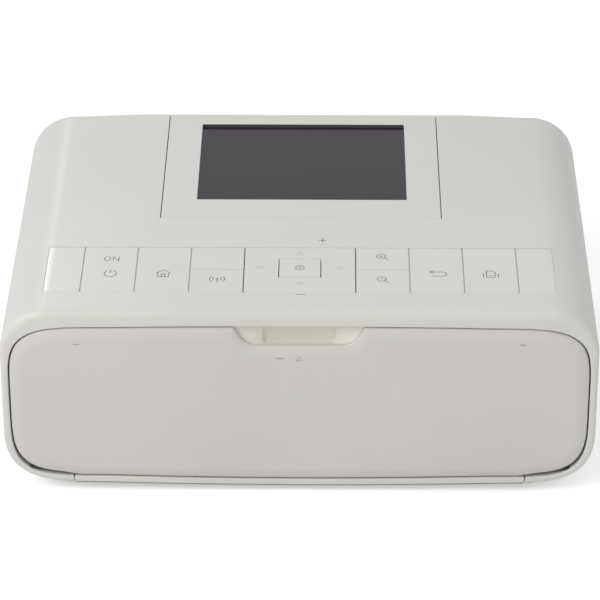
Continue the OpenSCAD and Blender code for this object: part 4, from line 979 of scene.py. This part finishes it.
def build_door(sizes, material):
    """The ink door: a closed section in X and Z, carried along Y. Its foot is the half round
    of the hinge barrel, its outer edges are soft, and the finger notch is a smooth step."""
    d, edge = DOOR, mm(sizes.door_edge)
    turn = np.linspace(0, QUARTER, 5)
    r = d["thick"] / 2
    under = np.linspace(-math.pi, 0, 13)
    notch_z = d["top"] - NAIL["high"]
    outer_z = np.concatenate([np.linspace(d["axis_z"], notch_z - 0.6, 6)[1:],
                              np.linspace(notch_z - 0.3, notch_z + 0.5, 4),
                              np.linspace(notch_z + 1, d["top"] - edge, 4)])
    x = np.concatenate([d["axis_x"] + r * np.cos(under), np.full(len(outer_z), d["out"]),
                        d["out"] - edge + edge * np.cos(turn[1:]),
                        [d["out"] - d["thick"]] * 2])
    z = np.concatenate([d["axis_z"] + r * np.sin(under), outer_z,
                        d["top"] - edge + edge * np.sin(turn[1:]),
                        [d["top"], d["axis_z"] + 4]])
    middle = (d["y0"] + d["y1"]) / 2
    stop = NAIL["half"]
    ys = np.concatenate([np.linspace(d["y0"] + edge, middle - stop - 0.6, 5),
                         middle + stop * np.array([-1.04, -1, -0.97, -0.9, -0.5, 0, 0.5, 0.9,
                                                   0.97, 1, 1.04]),
                         np.linspace(middle + stop + 0.6, d["y1"] - edge, 5)])
    ends = [(edge * along, edge * down) for along, down in quarter_round()[:-1]]
    rows = [(d["y0"] + along, down) for along, down in ends]
    rows += [(y, 0.0) for y in ys]
    rows += [(d["y1"] - along, down) for along, down in ends[::-1]]
    rings, soft, near = [], 0.35, 1e-6
    for y, inset in rows:
        sink = (smooth(share(abs(y - middle), stop + soft, stop - soft))
                * smooth(share(z, notch_z - soft, notch_z + soft)))
        out = x > d["out"] - edge - near
        px = x - np.where(out, NAIL["deep"] * sink + inset, 0)
        pz = z - np.where(z > d["top"] - 2 * edge, inset, 0)
        rings.append(np.stack([px, np.full_like(px, y), pz], -1))
    rib = slab(d["y0"] + 4, d["y1"] - 4, d["axis_z"] + 4, d["top"] - 4, 0, 1.05, 0.6, 0.3)
    points, faces = rib
    rib = (np.stack([d["out"] - d["thick"] + 0.05 - points[:, 2], points[:, 0],
                     points[:, 1]], -1), faces)
    return piece("ink_door_skin", [loft(rings), rib], material, "ink_door",
                 ["ink_door"])


# Places of the feet and of the screws, to each side of the middle
FOOT_X, FOOT_Y = 56, 50
SCREW_X, SCREW_Y = 64, 54


def build_feet(material):
    """Feet: turned pads with a soft lower edge and a shallow dish."""
    rows = [(0.02, 0.25), (2.6, 0.25), (3.3, 0.06), (3.7, 0.0), (4.1, 0.06), (4.4, 0.3),
            (4.5, 0.6), (4.5, 2.6), (0.02, 2.6)]
    made = [turned(rows, x, y) for x in (-FOOT_X, FOOT_X) for y in (-FOOT_Y, FOOT_Y)]
    return piece("feet_pads", made, material, "body", ["feet"])


def build_screws(material):
    """Base screws: turned heads with a soft edge and a recess in the shape of a cross, whose
    radius swings four times round, and a shank."""
    a = np.linspace(0, 2 * math.pi, 48, endpoint=False)
    cross = 0.42 + 0.95 * np.abs(np.cos(2 * a)) ** 5
    made = []
    for x in (-SCREW_X, SCREW_X):
        for y in (-SCREW_Y, 0, SCREW_Y):
            rings = [(cross * 0.6, 2.6), (cross, 1.93), (np.full_like(a, 1.75), 1.9),
                     (np.full_like(a, 2.1), 2.0), (np.full_like(a, 2.3), 2.3),
                     (np.full_like(a, 2.3), 2.9), (np.full_like(a, 1.15), 2.95),
                     (np.full_like(a, 1.15), 6.3)]
            made.append(loft([np.stack([x + r * np.cos(a), y + r * np.sin(a),
                                        np.full_like(a, z)], -1) for r, z in rings]))
    return piece("base_screw_heads", made, material, "body", ["base_screws"])


# Materials


def linear(colour):
    """A display colour, 0 to 255, as the linear light that a shader takes."""
    c = np.asarray(colour, float) / 255
    return tuple(np.where(c <= 0.04045, c / 12.92, ((c + 0.055) / 1.055) ** 2.4)) + (1.0,)


def node(tree, kind, sockets=(), **settings):
    """A node with its settings and the values of its sockets filled in."""
    made = tree.nodes.new(kind)
    for name, value in settings.items():
        setattr(made, name, value)
    for name, value in dict(sockets).items():
        made.inputs[name].default_value = value
    return made


def start_material(name, **sockets):
    """Node material with a Principled shader, whose sockets take the values given by names
    with _ for each space, and object coordinates."""
    material = bpy.data.materials.new(name)
    material.use_nodes = True
    tree = material.node_tree
    shader = tree.nodes["Principled BSDF"]
    for key, value in sockets.items():
        shader.inputs[key.replace("_", " ")].default_value = value
    place = node(tree, "ShaderNodeTexCoord")
    return material, tree, shader, place.outputs["Object"]


def toned(tree, shader, pattern, colour, spread, ends=(0.0, 1.0)):
    """Colour that follows a pattern, from darker to lighter by the share spread."""
    ramp = node(tree, "ShaderNodeValToRGB")
    base = np.array(colour, float)
    for element, end, level in zip(ramp.color_ramp.elements, ends, (1 - spread, 1 + spread)):
        element.position = end
        element.color = linear(np.clip(base * level, 0, 255))
    tree.links.new(pattern.outputs["Fac"], ramp.inputs["Fac"])
    tree.links.new(ramp.outputs["Color"], shader.inputs["Base Color"])


def tinted(tree, shader, place, colour, spread, scale):
    """Colour that drifts a little, light to dark, with soft noise."""
    noise = node(tree, "ShaderNodeTexNoise", {"Scale": scale, "Detail": 3})
    tree.links.new(place, noise.inputs["Vector"])
    toned(tree, shader, noise, colour, spread, (0.3, 0.7))
    return noise


def grained(tree, shader, place, scale, depth, strength, stretch=None):
    """Fine bump from noise; stretch draws it out along an axis, as brushing does."""
    noise = node(tree, "ShaderNodeTexNoise", {"Scale": scale, "Detail": 2})
    if stretch:
        mapping = node(tree, "ShaderNodeMapping", {"Scale": stretch})
        tree.links.new(place, mapping.inputs["Vector"])
        place = mapping.outputs["Vector"]
    tree.links.new(place, noise.inputs["Vector"])
    bump = node(tree, "ShaderNodeBump", {"Strength": strength, "Distance": depth})
    tree.links.new(noise.outputs["Fac"], bump.inputs["Height"])
    tree.links.new(bump.outputs["Normal"], shader.inputs["Normal"])
    return noise


def rough(tree, shader, noise, low, high):
    """Roughness that follows a noise between two values."""
    spread = node(tree, "ShaderNodeMapRange", {"To Min": low, "To Max": high})
    tree.links.new(noise.outputs["Fac"], spread.inputs["Value"])
    tree.links.new(spread.outputs["Result"], shader.inputs["Roughness"])


def moulded_plastic(name, colour, gloss=(0.42, 0.52), grain=0.00001, coat=0.0):
    """Moulded plastic: fine spark-erosion grain, a slight drift of colour and gloss."""
    material, tree, shader, place = start_material(name, Specular_IOR_Level=0.45,
                                                   Coat_Weight=coat, Coat_Roughness=0.18)
    drift = tinted(tree, shader, place, colour, spread=0.012, scale=14)
    grained(tree, shader, place, scale=3200, depth=grain, strength=0.5)
    rough(tree, shader, drift, *gloss)
    return material


def brushed_metal(name, colour, gloss=(0.28, 0.42), stretch=(1, 60, 60)):
    """Sheet or turned metal: bump drawn out along one axis."""
    material, tree, shader, place = start_material(name, Metallic=1.0)
    tinted(tree, shader, place, colour, spread=0.05, scale=30)
    brushing = grained(tree, shader, place, 60, 0.00001, 0.5, stretch)
    rough(tree, shader, brushing, *gloss)
    return material


def rubber_material(name, colour):
    """Ground rubber: matt with a fine even grain."""
    material, tree, shader, place = start_material(name)
    drift = tinted(tree, shader, place, colour, spread=0.08, scale=40)
    grained(tree, shader, place, scale=5000, depth=0.00003, strength=0.7)
    rough(tree, shader, drift, 0.75, 0.9)
    return material


def glass_material(name, colour):
    """Dark window: an even tone under a glossy face."""
    material, tree, shader, place = start_material(name, Specular_IOR_Level=0.45)
    drift = tinted(tree, shader, place, colour, spread=0.03, scale=8)
    rough(tree, shader, drift, 0.10, 0.16)
    return material


def board_material(name, colour):
    """Circuit board: green mask over traces, which are the joints of a brick pattern."""
    material, tree, shader, place = start_material(name)
    base = np.array(colour)
    brick = node(tree, "ShaderNodeTexBrick", {
        "Scale": 140, "Mortar Size": 0.03, "Color1": linear(base),
        "Color2": linear(base * 0.88), "Mortar": linear(base * 1.35 + 12)})
    tree.links.new(place, brick.inputs["Vector"])
    tree.links.new(brick.outputs["Color"], shader.inputs["Base Color"])
    noise = grained(tree, shader, place, scale=900, depth=0.00002, strength=0.4)
    rough(tree, shader, noise, 0.3, 0.45)
    return material


def film_material(name, colour):
    """Dye film: glossy, with bands of tone along its run."""
    material, tree, shader, place = start_material(name, Roughness=0.22)
    wave = node(tree, "ShaderNodeTexWave", {"Scale": 90, "Distortion": 0.6})
    tree.links.new(place, wave.inputs["Vector"])
    toned(tree, shader, wave, colour, 0.15)
    return material


def finishes(look):
    """One material for each slot of the record, and three for printed marks."""
    def shade(value):
        return [255 * c for c in value[:3]]

    return {
        "shell": moulded_plastic("shell_plastic", shade(look.shell), (0.32, 0.4)),
        "key_cap": moulded_plastic("key_plastic", shade(look.keys), (0.17, 0.22), 0.000003),
        "mark": moulded_plastic("printed_mark", shade(look.marks), (0.5, 0.6), 0.000004),
        "soft_mark": moulded_plastic("soft_mark", shade(look.soft_marks), (0.5, 0.6), 0.000004),
        "pale_mark": moulded_plastic("pale_mark", shade(look.pale_marks), (0.45, 0.55), 0.000004),
        "cover": moulded_plastic("cover_plastic", shade(look.cover), (0.28, 0.34)),
        # Liner: its own warm tone, lifted lighter as painted light for the shaded scoop pocket
        "liner": moulded_plastic("liner_plastic", shade(look.liner), (0.5, 0.6)),
        "display_glass": glass_material("display_window", shade(look.glass)),
        "display_module": moulded_plastic("module_black", (72, 70, 73), (0.4, 0.5)),
        "rubber": rubber_material("roller_rubber", (44, 44, 46)),
        "steel": brushed_metal("plate_steel", (176, 178, 182)),
        "turned_steel": brushed_metal("turned_steel", (196, 198, 200), (0.18, 0.3), (60, 4, 4)),
        "frame": moulded_plastic("frame_plastic", (74, 76, 80), (0.5, 0.62), 0.00002),
        "dark_plastic": moulded_plastic("dark_plastic", (52, 52, 55), (0.4, 0.55), 0.00002),
        "gear": moulded_plastic("gear_plastic", (232, 229, 219), (0.3, 0.4), 0.000005),
        "brass": brushed_metal("brass", (201, 163, 92), (0.22, 0.36), (40, 4, 4)),
        "aluminium": brushed_metal("fin_aluminium", (206, 207, 209), (0.3, 0.45), (1, 50, 50)),
        "ceramic": moulded_plastic("head_ceramic", (218, 214, 203), (0.12, 0.2), 0.000003,
                                   coat=0.3),
        "board": board_material("board_green", (28, 92, 62)),
        "ribbon": film_material("ribbon_film", (120, 96, 52)),
        "cassette": moulded_plastic("cassette_plastic", (62, 62, 66), (0.34, 0.48), 0.00002),
    }


def dress_frame(made):
    """Gives every CAD node the finish of its slot."""
    slots = {p["node"]: p.get("material") for p in frame["record"]["subparts"]}
    for name, thing in frame["nodes"].items():
        material = made.get(slots.get(name), made["dark_plastic"])
        thing.data.materials.clear()
        thing.data.materials.append(material)


# Stage

# Camera: place and target in millimetres, lens and sensor in millimetres, roll in radians
CAMERA_AT = (9.32, -920.0, 554.1)
CAMERA_TARGET = (-0.414, 0.0, 29.29)
CAMERA_LENS, CAMERA_SENSOR = 197.8, 36
CAMERA_ROLL = -0.001817
# Lamps, in metres: place, the point they face and size
LAMP = ((-0.62, -0.5, 0.72), (0, 0, 0.03), (0.55, 0.55))
SOFTBOX = ((-0.34, 1.27, 0.8), (0, 0, 0.05), (0.18, 0.5))
FLOOR_REACH, FLOOR_GREY = 6.0, 0.85


def build_camera():
    """Camera at the photograph's angle: it looks from its place to the target, turned by a
    small roll."""
    data = bpy.data.cameras.new("camera")
    data.lens = CAMERA_LENS
    data.sensor_width = CAMERA_SENSOR
    data.clip_start, data.clip_end = 0.01, 20
    camera = bpy.data.objects.new("camera", data)
    bpy.context.scene.collection.objects.link(camera)
    place, target = Vector(CAMERA_AT) * MM, Vector(CAMERA_TARGET) * MM
    turn = (target - place).to_track_quat("-Z", "Y").to_matrix().to_4x4()
    camera.matrix_world = (Matrix.Translation(place) @ turn
                           @ Matrix.Rotation(CAMERA_ROLL, 4, "Z"))
    bpy.context.scene.camera = camera


def area_light(name, place, target, size, power):
    """Soft rectangular lamp that faces a point."""
    data = bpy.data.lights.new(name, "AREA")
    data.shape = "RECTANGLE"
    data.size, data.size_y = size
    data.energy = power
    lamp = bpy.data.objects.new(name, data)
    place, target = Vector(place), Vector(target)
    lamp.location = place
    lamp.rotation_mode = "QUATERNION"
    lamp.rotation_quaternion = (target - place).to_track_quat("-Z", "Y")
    bpy.context.scene.collection.objects.link(lamp)


def white_to_camera(tree, strength_socket, level):
    """Feeds 1 to camera and transmission rays, and level to the rest."""
    path = node(tree, "ShaderNodeLightPath")
    most = node(tree, "ShaderNodeMath", operation="MAXIMUM")
    tree.links.new(path.outputs["Is Camera Ray"], most.inputs[0])
    tree.links.new(path.outputs["Is Transmission Ray"], most.inputs[1])
    spread = node(tree, "ShaderNodeMapRange", {"To Min": level, "To Max": 1.0})
    tree.links.new(most.outputs[0], spread.inputs["Value"])
    tree.links.new(spread.outputs["Result"], strength_socket)


def build_stage(look):
    """Pale floor, white world, a narrow softbox behind on the left, and a weak broad lamp
    from the upper left front."""
    scene = bpy.context.scene
    scene.view_settings.view_transform = "Standard"
    world = bpy.data.worlds.new("studio")
    world.use_nodes = True
    scene.world = world
    back = world.node_tree.nodes["Background"]
    back.inputs["Color"].default_value = (1, 1, 1, 1)
    white_to_camera(world.node_tree, back.inputs["Strength"], look.sky_level)
    mesh = bpy.data.meshes.new("floor")
    r = FLOOR_REACH
    mesh.from_pydata([(-r, -r, 0), (r, -r, 0), (r, r, 0), (-r, r, 0)], [], [(0, 1, 2, 3)])
    floor = bpy.data.objects.new("floor", mesh)
    scene.collection.objects.link(floor)
    material, tree, shader, _ = start_material(
        "floor_paper", Base_Color=(FLOOR_GREY, FLOOR_GREY, FLOOR_GREY, 1), Roughness=0.9,
        Emission_Color=(1, 1, 1, 1))
    path = node(tree, "ShaderNodeLightPath")
    lift = node(tree, "ShaderNodeMath", {1: look.floor_lift}, operation="MULTIPLY")
    tree.links.new(path.outputs["Is Camera Ray"], lift.inputs[0])
    tree.links.new(lift.outputs[0], shader.inputs["Emission Strength"])
    mesh.materials.append(material)
    area_light("lamp_front", *LAMP, look.lamp_power)
    area_light("softbox", *SOFTBOX, look.softbox_power)


# Add-on


class PrinterSizes(PropertyGroup):
    """Sizes of the casing's details."""
    brow_radius: FloatProperty(name="Brow radius", description="Rounding of the top front "
                               "edge", default=0.0028, unit="LENGTH")
    back_radius: FloatProperty(name="Back radius", description="Rounding of the back edge in "
                               "the middle", default=0.0038, unit="LENGTH")
    back_corner_radius: FloatProperty(name="Back corner radius", description="Rounding of the "
                                      "back edge at the corners", default=0.0062,
                                      unit="LENGTH")
    cover_edge: FloatProperty(name="Cover edge", description="Rounding of the cover's edge",
                              default=0.0005, unit="LENGTH")
    bevel_width: FloatProperty(name="Bevel width", description="Width of the soft bevel "
                               "round the cover's face", default=0.0036, unit="LENGTH")
    bevel_depth: FloatProperty(name="Bevel depth", description="Depth of that bevel",
                               default=0.0009, unit="LENGTH")
    key_edge: FloatProperty(name="Key edge", description="Rounding of a key's edge",
                            default=0.00015, unit="LENGTH")
    door_edge: FloatProperty(name="Door edge", description="Rounding of the side door's edge",
                             default=0.0005, unit="LENGTH")


class PrinterLook(PropertyGroup):
    """Colours and light."""
    shell: FloatVectorProperty(name="Shell", description="Colour of the casing",
                               subtype="COLOR_GAMMA", size=3, default=(0.845, 0.84, 0.815))
    keys: FloatVectorProperty(name="Keys", description="Colour of the keys",
                              subtype="COLOR_GAMMA", size=3, default=(0.86, 0.855, 0.835))
    marks: FloatVectorProperty(name="Marks", description="Colour of the icons",
                               subtype="COLOR_GAMMA", size=3, default=(0.51, 0.51, 0.495))
    soft_marks: FloatVectorProperty(name="Cover marks", description="Colour of the marks on "
                                    "the front cover", subtype="COLOR_GAMMA", size=3,
                                    default=(0.64, 0.635, 0.62))
    pale_marks: FloatVectorProperty(name="Pale marks", description="Colour of the arrows on "
                                    "the direction pad", subtype="COLOR_GAMMA", size=3,
                                    default=(0.74, 0.735, 0.72))
    cover: FloatVectorProperty(name="Cover", description="Colour of the front cover",
                               subtype="COLOR_GAMMA", size=3, default=(0.82, 0.81, 0.79))
    # The liner keeps its own warm tone but is made lighter than that tone. The extra lightness is
    # painted light for the shaded scoop pocket.
    liner: FloatVectorProperty(name="Liner", description="Colour of the cover's liner",
                               subtype="COLOR_GAMMA", size=3, default=(0.90, 0.89, 0.84))
    glass: FloatVectorProperty(name="Window", description="Colour of the display's window",
                               subtype="COLOR_GAMMA", size=3, default=(0.16, 0.13, 0.165))
    sky_level: FloatProperty(name="Sky level", description="Light from all round",
                             default=0.69)
    floor_lift: FloatProperty(name="Floor lift", description="Extra white of the floor in "
                              "the picture", default=0.4)
    lamp_power: FloatProperty(name="Lamp power", description="Power of the broad lamp",
                              default=3.9, unit="POWER")
    softbox_power: FloatProperty(name="Softbox power", description="Power of the softbox "
                                 "behind", default=1.0, unit="POWER")


# Materials by the name of their slot
MADE = {}


def finish_of(slot):
    """The material of a slot, made on first use."""
    if not MADE:
        MADE.update(finishes(bpy.context.scene.printer_look))
    return MADE[slot]


class PRINTER_OT_shell(Operator):
    """Build the casing's shell, bottom cover, feet and screws"""
    bl_idname = "printer.shell"
    bl_label = "Casing"

    def execute(self, context):
        sizes = context.scene.printer_sizes
        build_shell(sizes, finish_of("shell"))
        build_bottom(sizes, finish_of("shell"))
        build_feet(finish_of("rubber"))
        build_screws(finish_of("steel"))
        return {"FINISHED"}


class PRINTER_OT_cover(Operator):
    """Build the front cover, its marks and its liner"""
    bl_idname = "printer.cover"
    bl_label = "Front cover"

    def execute(self, context):
        sizes = context.scene.printer_sizes
        build_front_cover(sizes, finish_of("cover"))
        build_cover_marks(finish_of("soft_mark"))
        build_liner(finish_of("liner"))
        return {"FINISHED"}


class PRINTER_OT_display(Operator):
    """Build the tilting display"""
    bl_idname = "printer.display"
    bl_label = "Display"

    def execute(self, context):
        build_display(finish_of("shell"), finish_of("display_module"),
                      finish_of("display_glass"))
        return {"FINISHED"}


class PRINTER_OT_keys(Operator):
    """Build the keys, their carrier and the icons"""
    bl_idname = "printer.keys"
    bl_label = "Keys"

    def execute(self, context):
        sizes = context.scene.printer_sizes
        build_keys(sizes, finish_of("key_cap"))
        build_carrier(sizes, finish_of("key_cap"))
        build_icons(finish_of("mark"), finish_of("pale_mark"))
        return {"FINISHED"}


class PRINTER_OT_door(Operator):
    """Build the side door of the ink bay"""
    bl_idname = "printer.door"
    bl_label = "Ink door"

    def execute(self, context):
        build_door(context.scene.printer_sizes, finish_of("shell"))
        return {"FINISHED"}


class PRINTER_OT_inside(Operator):
    """Give the mechanism and the other frame parts their finishes"""
    bl_idname = "printer.inside"
    bl_label = "Mechanism"

    def execute(self, context):
        finish_of("shell")
        dress_frame(MADE)
        return {"FINISHED"}


class PRINTER_OT_stage(Operator):
    """Build the floor, lamps and camera"""
    bl_idname = "printer.stage"
    bl_label = "Stage"

    def execute(self, context):
        build_camera()
        build_stage(context.scene.printer_look)
        return {"FINISHED"}


class PRINTER_PT_panel(Panel):
    """Sizes, colours and build steps of the printer"""
    bl_label = "Photo printer"
    bl_space_type = "VIEW_3D"
    bl_region_type = "UI"
    bl_category = "Printer"

    def draw(self, context):
        for group in (context.scene.printer_sizes, context.scene.printer_look):
            for key in group.__annotations__:
                self.layout.prop(group, key)
        for step in STEPS:
            self.layout.operator("printer." + step)


STEPS = ("stage", "shell", "cover", "display", "keys", "door", "inside")
CLASSES = (PrinterSizes, PrinterLook, PRINTER_OT_shell, PRINTER_OT_cover,
           PRINTER_OT_display, PRINTER_OT_keys, PRINTER_OT_door, PRINTER_OT_inside,
           PRINTER_OT_stage, PRINTER_PT_panel)


def register():
    """Registers the classes and gives each scene its sizes and colours."""
    for cls in CLASSES:
        bpy.utils.register_class(cls)
    bpy.types.Scene.printer_sizes = PointerProperty(type=PrinterSizes)
    bpy.types.Scene.printer_look = PointerProperty(type=PrinterLook)


def unregister():
    """Takes back what register does."""
    del bpy.types.Scene.printer_look
    del bpy.types.Scene.printer_sizes
    for cls in reversed(CLASSES):
        bpy.utils.unregister_class(cls)


def main():
    """Registers the add-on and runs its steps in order."""
    register()
    for step in STEPS:
        getattr(bpy.ops.printer, step)()


if __name__ == "__main__":
    main()
